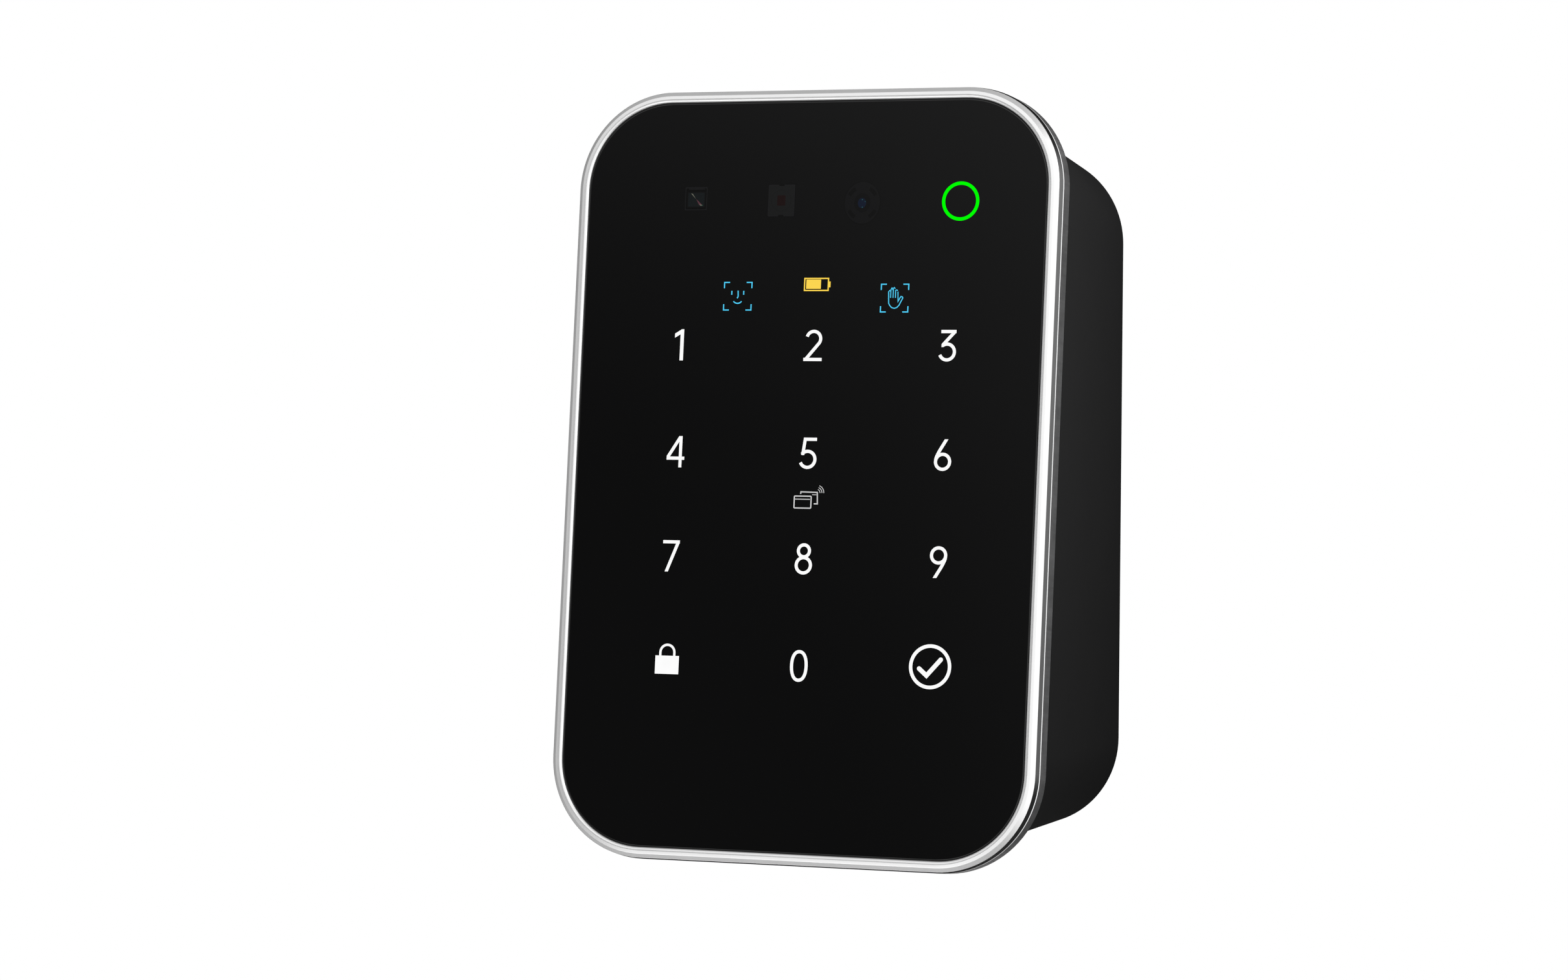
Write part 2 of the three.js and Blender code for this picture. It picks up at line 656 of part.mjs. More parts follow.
function buildElectronics() {
  const { halfWidth, bottomZ, topZ, frontY, backY } = MAIN_BOARD;
  const board = windowPlate(
    [2 * halfWidth, topZ - bottomZ, 3, 0, (topZ + bottomZ) / 2],
    [],
    [frontY, backY],
    4,
  );
  add('main_board', board, FINISH.board());

  const onFront = (depth) => [frontY - GAP - depth, frontY - GAP];
  const onBack = (depth) => [backY + GAP, backY + GAP + depth];
  add('processor_shield', block([-20, 4], onFront(2.4), [-2, 22]), FINISH.tin());
  add('radio_module', block([10, 26], onFront(2.0), [14, 26]), FINISH.tin());
  add('buzzer', tubeY(6, 1.2, onFront(4), 18, -26, 24), FINISH.chip());
  add('lock_terminal_block', block([-10, 10], onBack(9), [20, 29]), FINISH.terminalBlock());

  const shell = (inset, limitsZ) => block(
    [USB.x - USB.width / 2 + inset, USB.x + USB.width / 2 - inset],
    [USB.y - USB.height / 2 + inset, USB.y + USB.height / 2 - inset],
    limitsZ,
  );
  const port = cut(
    shell(0, [USB.bottomZ, USB.bottomZ + USB.length]),
    shell(USB.wall, [USB.bottomZ - 1, USB.bottomZ + 6]),
  );
  const tongue = block(
    [USB.x - 3.3, USB.x + 3.3],
    [USB.y - USB.wall, USB.y + USB.wall],
    [USB.bottomZ + 1, USB.bottomZ + 6.5],
  );
  add('usb_port', joined(port, tongue), FINISH.steel());

  add('reset_switch', block([RESET.x - 3, RESET.x + 3], onFront(3.4), [-53.4, -49.6]), FINISH.chip());

  const { x, z, radius } = TAMPER;
  const body = cut(
    block([x - 4.5, x + 4.5], [-18, RECESS.innerY - GAP], [z - 4, z + 4]),
    rodY(radius + GAP, [-17, 0], x, z, 16),
  );
  add('tamper_switch', body, FINISH.chip());
}

/** Ribbon from the sensor board, through the carrier's window, back to the main board. */
function buildRibbon() {
  const behindBoard = new THREE.Vector3(0, SENSOR_BOARD.back + 0.6, SENSOR_ROW_Z + 5.5);
  const inWindow = new THREE.Vector3(0, CHASSIS.back, SENSOR_ROW_Z + 4);
  const end = new THREE.Vector2(MAIN_BOARD.frontY - 0.6, MAIN_BOARD.topZ - 8);
  const flat = (p) => new THREE.Vector2(p.y, p.z);
  const centre = new THREE.SplineCurve([
    flat(behindBoard.applyMatrix4(toUpright)),
    flat(inWindow.applyMatrix4(toUpright)),
    new THREE.Vector2(end.x - 0.5, MAIN_BOARD.topZ + 3),
    end,
  ]);
  const steps = 14;
  const halfThickness = 0.15;
  const sides = [-1, 1].map((side) => Array.from({ length: steps + 1 }, (_, k) => {
    const tangent = centre.getTangent(k / steps);
    const across = new THREE.Vector2(-tangent.y, tangent.x).multiplyScalar(side * halfThickness);
    return centre.getPoint(k / steps).add(across);
  }));
  const shape = new THREE.Shape([...sides[0], ...sides[1].reverse()]);
  const ribbon = alongX(shape, [-5, 5]);
  add('flex_ribbon', ribbon, FINISH.polyimide());
}

function buildGrommet() {
  const flange = RECESS.floorY + GAP;
  const inner = RECESS.innerY - GAP;
  const { x, z, bore, hole } = CABLE;
  const grommet = cut(
    joined(
      rodY(hole + 1.6, [flange, flange + 1.2], x, z, 28),
      rodY(hole - GAP, [inner - 0.6, flange + 0.6], x, z, 28),
      rodY(hole + 1.2, [inner - 1.4, inner], x, z, 28),
    ),
    rodY(bore, [-20, 5], x, z, 24),
  );
  add('cable_grommet', grommet, FINISH.rubber());
}

/** Plugged rubber cover of the emergency power port; it bends open about its front edge. */
function buildPortCover(floorZ) {
  const { width, frontY, backY, thickness } = PORT_COVER;
  const top = floorZ + thickness;
  const profile = new THREE.Shape([
    new THREE.Vector2(frontY, floorZ),
    new THREE.Vector2(backY, floorZ),
    new THREE.Vector2(backY, top),
    new THREE.Vector2(frontY + thickness, top),
  ]);
  const cover = joined(
    alongX(profile, [-width / 2, width / 2]),
    block([USB.x - 4.1, USB.x + 4.1], [USB.y - 1.2, USB.y + 1.2], [top - 0.5, top + 0.9]),
  );
  const grip = block([-4, 4], [backY - 0.7, backY + 1], [floorZ - 1, floorZ + 0.5]);
  add('port_cover', cut(cover, grip), FINISH.rubber());
}

function buildResetButton(floorZ) {
  const { x, y, radius, topZ } = RESET;
  const button = joined(
    rodZ(radius, [floorZ + 0.5, topZ], x, y, 16),
    rodZ(radius + 0.9, [floorZ + WALL + GAP, floorZ + WALL + GAP + 0.7], x, y, 16),
  );
  add('reset_button', button, FINISH.rubber());
}

function buildTamperPlunger() {
  const { x, z, radius, innerY } = TAMPER;
  const plunger = joined(
    rodY(radius, [innerY, -0.6], x, z, 16),
    rodY(radius - 0.5, [-0.9, -0.05], x, z, 16),
  );
  add('tamper_plunger', plunger, FINISH.rubber());
}

// ---------------------------------------------------------------- battery drawer

function buildBay() {
  const halfInner = DRAWER.halfWidth + BAY.clearance;
  const half = halfInner + BAY.wall;
  const frontInner = DRAWER.frontY - BAY.clearance;
  const backInner = DRAWER.backY + BAY.clearance;
  const { radius, bottomZ, topZ } = SCREW_BOSS;
  const outer = joined(
    block([-half, half], [frontInner - BAY.wall, backInner + BAY.wall], [BAY.bottomZ, BAY.topZ]),
    rodZ(radius, [bottomZ, topZ], DRAWER_SCREW.x, DRAWER_SCREW.y, 16),
    block([-radius, radius], [DRAWER_SCREW.y, frontInner - 0.5], [bottomZ, topZ]),
  );
  const limited = shared(outer, housingInside(WALL + 0.4, RECESS.innerY - GAP));
  const bay = cut(
    limited,
    block([-halfInner, halfInner], [frontInner, backInner], [-70, BAY.topZ - BAY.wall]),
    rodZ(SCREW.shank + GAP, [-60, DRAWER_SCREW.tipZ + 1], DRAWER_SCREW.x, DRAWER_SCREW.y, 12),
  );
  add('battery_bay', bay, FINISH.innerPlastic());
}

function buildDrawer(floorZ) {
  const { halfWidth, frontY, backY, bottomZ, topZ, wall } = DRAWER;
  const face = DRAWER_FACE;
  const facePlate = cut(
    shared(drawerOpening(0), housingOutside()),
    housingInside(face.thickness, RECESS.floorY),
  );
  const tray = block([-halfWidth, halfWidth], [frontY, backY], [bottomZ, topZ]);
  const trayRoom = block(
    [-halfWidth + wall, halfWidth - wall],
    [frontY - 5, backY - wall],
    [bottomZ + 0.2, topZ - wall],
  );
  const trayOnly = cut(tray, trayRoom);
  const limitedTray = shared(trayOnly, housingInside(face.thickness - 0.3, 5));
  const { x, y, tipZ } = DRAWER_SCREW;
  const head = rodZ(SCREW.head + GAP, [-FAR, headSeat(floorZ)], x, y, 16);
  const bore = rodZ(SCREW.shank + GAP, [-FAR, -40], x, y, 12);
  add('battery_drawer', cut(joined(facePlate, limitedTray), head, bore), FINISH.blackPlastic());
  add('drawer_screw', screwUp(floorZ + SCREW_SINK, tipZ, x, y), FINISH.darkSteel());
}

const cellX = (number) => (number - (CELL.count - 1) / 2) * CELL.pitch;
const pipUp = (number) => number % 2 === 0; // neighbouring cells point opposite ways

function buildCells() {
  const { radius, length, pipRadius, pipHeight } = CELL;
  const profile = [
    [0, 0],
    [radius - 0.5, 0],
    [radius, 0.5],
    [radius, length - 0.5],
    [radius - 0.5, length],
    [pipRadius, length],
    [pipRadius, length + pipHeight],
    [0, length + pipHeight],
  ].map(([r, h]) => new THREE.Vector2(r, h));
  for (let number = 0; number < CELL.count; number += 1) {
    const cell = new THREE.LatheGeometry(profile, 24).rotateX(Math.PI / 2);
    if (!pipUp(number)) {
      cell.translate(0, 0, -length - pipHeight).rotateY(Math.PI);
    }
    cell.translate(cellX(number), CELL_Y, CELL_BOTTOM_Z);
    add(`battery_${number + 1}`, cell, FINISH.cell());
  }
}

/** A cone-shaped wire spring along Z, from its wide end at startZ to its narrow end at endZ. */
function coil(x, startZ, endZ) {
  const turns = 2.5;
  class Helix extends THREE.Curve {
    getPoint(t) {
      const angle = t * turns * 2 * Math.PI;
      const radius = THREE.MathUtils.lerp(4.2, 2.4, t);
      const z = THREE.MathUtils.lerp(startZ, endZ, t);
      return new THREE.Vector3(x + radius * Math.cos(angle), CELL_Y + radius * Math.sin(angle), z);
    }
  }
  const section = new THREE.Shape();
  section.absarc(0, 0, SPRING_WIRE, 0, 2 * Math.PI, false);
  return new THREE.ExtrudeGeometry(section, {
    steps: 20,
    curveSegments: 2,
    bevelEnabled: false,
    extrudePath: new Helix(),
  });
}

/** Plated contacts at both ends of the row; each joins its neighbours into one series string. */
function buildContacts() {
  const thickness = 0.4;
  const cellTop = CELL_BOTTOM_Z + CELL.length + CELL.pipHeight;
  const reach = GAP + SPRING_WIRE; // from a cell's flat end to the middle of the spring's last turn
  const lowZ = DRAWER.bottomZ + 0.8;
  const low = { z: lowZ, inner: lowZ + thickness, cellEnd: CELL_BOTTOM_Z, away: -1 };
  const highZ = DRAWER.topZ - DRAWER.wall - GAP - thickness;
  const high = { z: highZ, inner: highZ, cellEnd: cellTop, away: 1 };
  const strips = [
    ['contact_low_left', low, [0, 1]],
    ['contact_low_right', low, [2, 3]],
    ['contact_high_left', high, [0]],
    ['contact_high_middle', high, [1, 2]],
    ['contact_high_right', high, [3]],
  ];
  for (const [name, end, cells] of strips) {
    const strip = block(
      [cellX(cells[0]) - 5.2, cellX(cells.at(-1)) + 5.2],
      [CELL_Y - 5, CELL_Y + 5],
      [end.z, end.z + thickness],
    );
    const touching = cells.map((number) => {
      const pipHere = pipUp(number) === (end === high);
      if (!pipHere) {
        return coil(cellX(number), end.inner, end.cellEnd + end.away * reach);
      }
      const limits = [end.cellEnd + end.away * GAP, end.inner + end.away * 0.1];
      return rodZ(2.4, limits.sort((a, b) => a - b), cellX(number), CELL_Y, 12);
    });
    add(name, joined(strip, ...touching), FINISH.tin());
  }
}

// ---------------------------------------------------------------- wall plate

function buildWallPlate() {
  const { width, bottomZ, topZ, radius, thickness } = PLATE;
  const sheet = windowPlate(
    [width, topZ - bottomZ, radius, 0, (topZ + bottomZ) / 2],
    [PLATE.cableWindow],
    [-thickness, 0],
  );
  const tab = block([-7, 7], [RECESS.floorY + 0.35, -0.5], [bottomZ, bottomZ + 1.6]);
  const limits = [-5, 5];
  const holes = [
    rodZ(SCREW.shank + 0.5, [-60, -30], LOCKING_SCREW.x, LOCKING_SCREW.y, 16),
    rodY(TAMPER.radius + 1, limits, TAMPER.x, TAMPER.z),
    rodY(TAMPER.radius + 1, limits, TAMPER.x, TAMPER.z + LIFT),
    block(
      [TAMPER.x - TAMPER.radius - 1, TAMPER.x + TAMPER.radius + 1],
      limits,
      [TAMPER.z, TAMPER.z + LIFT],
    ),
  ];
  for (const side of [-1, 1]) {
    holes.push(rodY(STUD.shoulder + GAP, limits, side * STUD.x, STUD.z));
    const slotX = side * PLATE.slotX;
    for (const z of PLATE.slotZ) {
      holes.push(rodY(PLATE.slotRadius, limits, slotX - 1, z, 16));
      holes.push(rodY(PLATE.slotRadius, limits, slotX + 1, z, 16));
      holes.push(block([slotX - 1, slotX + 1], limits, [z - 2.05, z + 2.05]));
    }
  }
  add('wall_plate', cut(joined(sheet, tab), ...holes), FINISH.galvanised());

  for (const [name, side] of [['left', -1], ['right', 1]]) {
    const x = side * STUD.x;
    const headFront = RECESS.innerY - GAP;
    const stud = joined(
      rodY(STUD.shoulder, [-thickness + 0.1, -0.1], x, STUD.z, 20),
      rodY(STUD.neck, [headFront - 1, -thickness + 0.2], x, STUD.z, 20),
      rodY(STUD.head, [headFront - 1.5, headFront], x, STUD.z, 20),
    );
    add(`wall_stud_${name}`, stud, FINISH.steel());
  }
}

buildFace();
buildKeypad();
buildSensors();
buildChassis();
const floorZ = buildHousing();
buildScrews(floorZ);
buildElectronics();
buildRibbon();
buildGrommet();
buildPortCover(floorZ);
buildResetButton(floorZ);
buildTamperPlunger();
buildBay();
buildDrawer(floorZ);
buildCells();
buildContacts();
buildWallPlate();

export default terminal;
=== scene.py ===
import json
import math
from itertools import product

import bmesh
import bpy
from mathutils import Matrix, Vector


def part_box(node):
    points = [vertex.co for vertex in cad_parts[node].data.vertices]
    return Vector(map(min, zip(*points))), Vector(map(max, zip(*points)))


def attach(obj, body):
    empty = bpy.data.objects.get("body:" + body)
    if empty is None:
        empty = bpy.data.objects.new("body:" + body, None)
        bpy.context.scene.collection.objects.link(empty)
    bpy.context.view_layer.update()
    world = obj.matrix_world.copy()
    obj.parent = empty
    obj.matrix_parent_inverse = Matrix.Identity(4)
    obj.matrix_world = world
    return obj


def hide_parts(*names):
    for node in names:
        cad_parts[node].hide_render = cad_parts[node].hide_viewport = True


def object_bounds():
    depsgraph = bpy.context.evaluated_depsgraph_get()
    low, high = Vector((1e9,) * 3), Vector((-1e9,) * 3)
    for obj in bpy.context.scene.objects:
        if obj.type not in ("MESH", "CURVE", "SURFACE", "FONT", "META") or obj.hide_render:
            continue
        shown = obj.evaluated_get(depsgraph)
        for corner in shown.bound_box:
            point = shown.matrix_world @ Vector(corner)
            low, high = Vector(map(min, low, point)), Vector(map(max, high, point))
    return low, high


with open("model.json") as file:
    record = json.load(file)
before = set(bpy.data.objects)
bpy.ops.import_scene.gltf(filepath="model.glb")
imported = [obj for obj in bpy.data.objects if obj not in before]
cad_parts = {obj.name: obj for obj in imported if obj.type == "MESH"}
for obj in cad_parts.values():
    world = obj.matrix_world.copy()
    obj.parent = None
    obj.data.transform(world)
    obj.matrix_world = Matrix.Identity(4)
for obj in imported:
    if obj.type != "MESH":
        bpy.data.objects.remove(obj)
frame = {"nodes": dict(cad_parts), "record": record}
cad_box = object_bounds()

# Wall-mounted access terminal. Lengths in the functions below are millimetres, turned into metres
# when a mesh is made. "Face" pieces are drawn on the glass: x across, y behind it, z up it.

MM = 0.001

# ------------------------------------------------------------------ shape of the shell

TILT = math.radians(5.7)
GLASS = (81.9, 125.0, 14.6)  # width, height, corner radius
TRIM_WIDTH = 2.1  # the bright ring's width, seen from the front
TRIM_DRAFT = 0.2  # the ring's side leans in by this much towards the front
FRAME = tuple(size + 2 * TRIM_WIDTH for size in GLASS[:2]) + (GLASS[2] + TRIM_WIDTH,)
GLASS_THICKNESS = 1.8

HOUSING_FRONT = (81.2, 123.4, 15.9)
HOUSING_BACK = (75.2, 116.9, 15.6)
RIM_DEPTH = 5.7  # from the glass to the housing's front rim
FLARE = 2.2  # how far the housing flares out at that rim
FLARE_LENGTH = 0.13  # of the wall's length
WALL = 2.2  # wall thickness
RECESS_LIP = 2.5  # rim round the recess for the wall plate
RECESS_FLOOR_Y = -5.5
RECESS_INNER_Y = RECESS_FLOOR_Y - 2.2

CORNER_STEPS = 24


def node_box(name):
    """Lowest and highest corner of a CAD node, in millimetres."""
    low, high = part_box(name)
    return Vector(low) / MM, Vector(high) / MM


def middle(name):
    low, high = node_box(name)
    return (low + high) / 2


BACK_RIM_Y = node_box("rear_housing")[1].y
INTO_FACE = Vector((0, math.cos(TILT), -math.sin(TILT)))
FACE_CENTRE = middle("front_glass") - INTO_FACE * GLASS_THICKNESS / 2
FACE_CENTRE.x = 0
FACE_MM = Matrix.Translation(FACE_CENTRE) @ Matrix.Rotation(-TILT, 4, "X")
FACE = Matrix.Translation(FACE_CENTRE * MM) @ Matrix.Rotation(-TILT, 4, "X")


# ------------------------------------------------------------------ mesh helpers

def new_object(name, data):
    made = bpy.data.objects.new(name, data)
    bpy.context.scene.collection.objects.link(made)
    return made


def mesh_object(name, points, faces, place=Matrix()):
    """An object from points in millimetres and faces as lists of point numbers."""
    mesh = bpy.data.meshes.new(name)
    mesh.from_pydata([tuple(Vector(p) * MM) for p in points], [], faces)
    mesh.validate()
    turn_outward(mesh)
    made = new_object(name, mesh)
    made.matrix_world = place
    return made


def turn_outward(mesh, merge=None, flat=None):
    """Turns faces outward; points within merge metres and faces within flat radians join first."""
    bm = bmesh.new()
    bm.from_mesh(mesh)
    if merge:
        bmesh.ops.remove_doubles(bm, verts=bm.verts, dist=merge)
    if flat:
        bmesh.ops.dissolve_limit(bm, angle_limit=flat, verts=bm.verts, edges=bm.edges)
    bmesh.ops.recalc_face_normals(bm, faces=bm.faces)
    bm.to_mesh(mesh)
    bm.free()


def settle(thing):
    """Applies the object's modifiers to its mesh."""
    graph = bpy.context.evaluated_depsgraph_get()
    made = bpy.data.meshes.new_from_object(thing.evaluated_get(graph))
    thing.modifiers.clear()
    thing.data = made
    return thing


def smooth(thing, degrees=35):
    """Smooth shading that keeps edges sharper than this angle, and keeps large faces flat."""
    thing.data.shade_smooth()
    thing.data.set_sharp_from_angle(angle=math.radians(degrees))
    weighted = thing.modifiers.new("normals", "WEIGHTED_NORMAL")
    weighted.keep_sharp = True
    weighted.weight = 100
    return settle(thing)


def bevelled(thing, width):
    """Rounds the edges sharper than 40 degrees."""
    bevel = thing.modifiers.new("edges", "BEVEL")
    bevel.width = width * MM
    bevel.segments = 2
    bevel.limit_method = "ANGLE"
    bevel.angle_limit = math.radians(40)
    bevel.harden_normals = False
    return settle(thing)


def combine(thing, others, operation):
    """Joins or cuts one mesh with others, which are used up."""
    for other in others:
        boolean = thing.modifiers.new("combine", "BOOLEAN")
        boolean.operation = operation
        boolean.solver = "EXACT"
        boolean.object = other
    settle(thing)
    for other in others:
        bpy.data.objects.remove(other)
    return thing


def outline(size, inset=0.0, steps=CORNER_STEPS, x=0.0, z=0.0):
    """Points of a rounded rectangle, anticlockwise from the low end of its top right corner."""
    width, height, radius = size
    corner = max(radius - inset, 0.02)  # a corner never shrinks to a point
    across = width / 2 - inset - corner
    up = height / 2 - inset - corner
    points = []
    for quarter, (sx, sz) in enumerate(((1, 1), (-1, 1), (-1, -1), (1, -1))):
        for step in range(steps + 1):
            angle = (quarter + step / steps) * math.pi / 2
            points.append((
                x + sx * across + corner * math.cos(angle),
                z + sz * up + corner * math.sin(angle),
            ))
    return points


def loft_faces(ring_count, point_count, looped=False):
    """Faces between rings of points, with the two ends closed or joined to each other."""
    faces = []
    for ring in range(ring_count if looped else ring_count - 1):
        here = ring * point_count
        there = ((ring + 1) % ring_count) * point_count
        for k in range(point_count):
            after = (k + 1) % point_count
            faces.append((here + k, here + after, there + after, there + k))
    if not looped:
        faces.append(tuple(range(point_count)))
        last = (ring_count - 1) * point_count
        faces.append(tuple(last + k for k in reversed(range(point_count))))
    return faces


def loft(name, rings, looped=False, place=Matrix()):
    points = [p for ring in rings for p in ring]
    return mesh_object(name, points, loft_faces(len(rings), len(rings[0]), looped), place)


def frame_sweep(name, profile, size=FRAME, looped=True):
    """A ring round the face from a closed profile of (inset, depth) points."""
    rings = [[(x, depth, z) for x, z in outline(size, inset)] for inset, depth in profile]
    return loft(name, rings, looped, FACE)


def plate(name, size, near, far, z, edge, steps):
    """A rounded plate in the XZ plane with eased edges, between two Y values."""
    levels = ((near, edge), (near + edge * 0.3, edge * 0.3), (near + edge, 0))
    levels += ((far - edge, 0), (far - edge * 0.3, edge * 0.3), (far, edge))
    rings = [[(px, y, pz) for px, pz in outline(size, inset, steps, z=z)] for y, inset in levels]
    return loft(name, rings)


def turned(name, profile, centre, axis="Z", sides=40, looped=False):
    """A turned solid from (radius, along) points; the profile ends on the axis or is a loop."""
    points = []
    for radius, along in profile:
        for k in range(sides):
            angle = 2 * math.pi * k / sides
            a, b = radius * math.cos(angle), radius * math.sin(angle)
            offset = (a, b, along) if axis == "Z" else (a, along, b)
            points.append(Vector(centre) + Vector(offset))
    made = mesh_object(name, points, loft_faces(len(profile), sides, looped))
    turn_outward(made.data, merge=1e-7)  # the points on the axis become one
    return made


def arc(centre, radius, start, end, steps=24):
    """Points on an arc, angles in degrees from +x, anticlockwise when end is above start."""
    points = []
    for step in range(steps + 1):
        angle = math.radians(start + (end - start) * step / steps)
        points.append((centre[0] + radius * math.cos(angle), centre[1] + radius * math.sin(angle)))
    return points


# ------------------------------------------------------------------ materials

class Look:
    """A procedural material, built up node by node in the object's own coordinates."""

    def __init__(self, name, colour, roughness=0.5, metallic=0.0, **inputs):
        self.material = bpy.data.materials.new(name)
        self.material.use_nodes = True
        self.tree = self.material.node_tree
        self.shader = self.tree.nodes["Principled BSDF"]
        self.set("Base Color", (*colour, 1))
        self.set("Roughness", roughness)
        self.set("Metallic", metallic)
        for key, value in inputs.items():
            self.set(key.replace("_", " "), value)
        self.place = self.node("ShaderNodeTexCoord").outputs["Object"]

    def set(self, socket, value):
        self.shader.inputs[socket].default_value = value

    def node(self, kind, **settings):
        made = self.tree.nodes.new(kind)
        for key, value in settings.items():
            setattr(made, key, value)
        return made

    def link(self, source, target):
        self.tree.links.new(source, target)

    def math(self, operation, a, b):
        made = self.node("ShaderNodeMath", operation=operation)
        for socket, value in zip(made.inputs, (a, b)):
            if isinstance(value, (int, float)):
                socket.default_value = value
            else:
                self.link(value, socket)
        return made.outputs[0]

    def stretched_place(self, x, y, z):
        """The coordinates scaled along each axis: a small scale draws a texture out."""
        mapping = self.node("ShaderNodeMapping")
        mapping.inputs["Scale"].default_value = (x, y, z)
        self.link(self.place, mapping.inputs["Vector"])
        return mapping.outputs["Vector"]

    def noise(self, size, detail=3.0, place=None):
        """Noise whose blobs are about size millimetres across."""
        made = self.node("ShaderNodeTexNoise")
        made.inputs["Scale"].default_value = 1 / (size * MM)
        made.inputs["Detail"].default_value = detail
        made.inputs["Roughness"].default_value = 0.55
        self.link(place or self.place, made.inputs["Vector"])
        return made.outputs["Fac"]

    def cells(self, size):
        """Random colours in cells about size millimetres across."""
        made = self.node("ShaderNodeTexVoronoi")
        made.inputs["Scale"].default_value = 1 / (size * MM)
        self.link(self.place, made.inputs["Vector"])
        return made.outputs["Color"]

    def spread(self, factor, low, high, start=0.3, end=0.7):
        """Maps a factor's middle range onto low to high."""
        made = self.node("ShaderNodeMapRange")
        made.inputs["From Min"].default_value = start
        made.inputs["From Max"].default_value = end
        made.inputs["To Min"].default_value = low
        made.inputs["To Max"].default_value = high
        self.link(factor, made.inputs["Value"])
        return made.outputs["Result"]

    def mix(self, factor, a, b):
        """Blends two colours, each a constant or another node's output."""
        made = self.node("ShaderNodeMix", data_type="RGBA")
        self.link(factor, made.inputs["Factor"])
        # the colour sockets come after the number and vector ones of the same names
        for socket, value in ((made.inputs[6], a), (made.inputs[7], b)):
            if isinstance(value, tuple):
                socket.default_value = (*value, 1)
            else:
                self.link(value, socket)
        return made.outputs[2]

    def to(self, socket, value):
        self.link(value, self.shader.inputs[socket])

    def bump(self, height, distance):
        """Raises the surface by a height of 0 to 1 times distance millimetres."""
        made = self.node("ShaderNodeBump")
        made.inputs["Strength"].default_value = 1.0
        made.inputs["Distance"].default_value = distance * MM
        self.link(height, made.inputs["Height"])
        self.link(made.outputs["Normal"], self.shader.inputs["Normal"])


def shade(colour, factor):
    return tuple(c * factor for c in colour)


def moulded(name, colour, roughness, grain, relief, patchy=6.0, tint=0.12):
    """Moulded plastic or rubber: fine grain, slightly patchy gloss and colour."""
    look = Look(name, colour, roughness)
    patches = look.noise(patchy, detail=2)
    look.to("Base Color", look.mix(patches, shade(colour, 1 - tint), shade(colour, 1 + tint)))
    look.to("Roughness", look.spread(patches, roughness - 0.055, roughness + 0.055))
    look.bump(look.noise(grain, detail=2), relief)
    return look.material


def housing_plastic():
    """Fine-grained black plastic with painted light and shade: paler towards the top and the
    front, darker towards the bottom and the back.
    """
    dark, pale = (0.004, 0.004, 0.0041), (0.041, 0.041, 0.0415)
    look = Look("housing_plastic", dark, 0.42, Specular_IOR_Level=0.18)
    split = look.node("ShaderNodeSeparateXYZ")
    look.link(look.place, split.inputs[0])
    height = look.spread(split.outputs["Z"], 0.2, 1.0, -0.065, 0.065)
    depth = look.spread(split.outputs["Y"], 1.0, 0.4, -0.05, 0.0)
    # painted light and shade: the base colour runs from dark at the bottom and back to pale at the
    # top and front
    look.to("Base Color", look.mix(look.math("MULTIPLY", height, depth), dark, pale))
    look.to("Roughness", look.spread(look.noise(9, detail=2), 0.4, 0.44))
    look.bump(look.noise(0.22, detail=2), 0.012)
    return look.material


def metal(name, colour, roughness, brushed=None, spread=0.06, relief=0.004, tint=0.06):
    """Bare or plated metal; brushed gives the stretch of its fine lines along X, Y and Z."""
    look = Look(name, colour, roughness, 1.0)
    place = look.stretched_place(*brushed) if brushed else look.place
    lines = look.noise(0.3, detail=3, place=place)
    wear = look.noise(5, detail=3)
    total = look.math("ADD", look.math("MULTIPLY", lines, 0.5), look.math("MULTIPLY", wear, 0.5))
    look.to("Base Color", look.mix(total, shade(colour, 1 - tint), shade(colour, 1 + tint)))
    look.to("Roughness", look.spread(total, roughness - spread, roughness + spread))
    look.bump(lines, relief)
    return look.material


def lit(name, colour):
    """A legend lit from behind; the light is very slightly uneven."""
    look = Look(name, (0.0, 0.0, 0.0), 0.4, Specular_IOR_Level=0.0)
    uneven = look.noise(2.5, detail=1)
    look.to("Emission Color", look.mix(uneven, shade(colour, 0.94), colour))
    look.set("Emission Strength", 1.0)
    return look.material


def black_glass():
    """Back-printed glass, black right through."""
    ink = (0.0012, 0.0012, 0.0013)
    look = Look("black_glass", ink, 0.04, IOR=1.5)
    cloud = look.noise(18, detail=3)
    look.to("Roughness", look.spread(cloud, 0.03, 0.055))
    look.to("Base Color", look.mix(cloud, shade(ink, 0.9), shade(ink, 1.1)))
    return look.material


def cell_sleeve():
    """Plain dark sleeve of a dry cell, faintly grained."""
    look = Look("cell_sleeve", (0.03, 0.035, 0.05), 0.3, 0.3)
    grain = look.noise(3, detail=2)
    look.to("Base Color", look.mix(grain, (0.028, 0.034, 0.05), (0.036, 0.043, 0.062)))
    look.to("Roughness", look.spread(grain, 0.26, 0.34))
    return look.material


def galvanised():
    """Zinc-coated steel with its faint crystal spangle."""
    base = (0.42, 0.43, 0.44)
    look = Look("galvanised_steel", base, 0.42, 1.0)
    spangle = look.node("ShaderNodeSeparateColor")
    look.link(look.cells(6.0), spangle.inputs[0])
    tone = spangle.outputs[0]
    look.to("Base Color", look.mix(tone, shade(base, 0.93), shade(base, 1.06)))
    look.to("Roughness", look.spread(tone, 0.4, 0.47, 0, 1))
    look.bump(look.noise(0.4), 0.006)
    return look.material


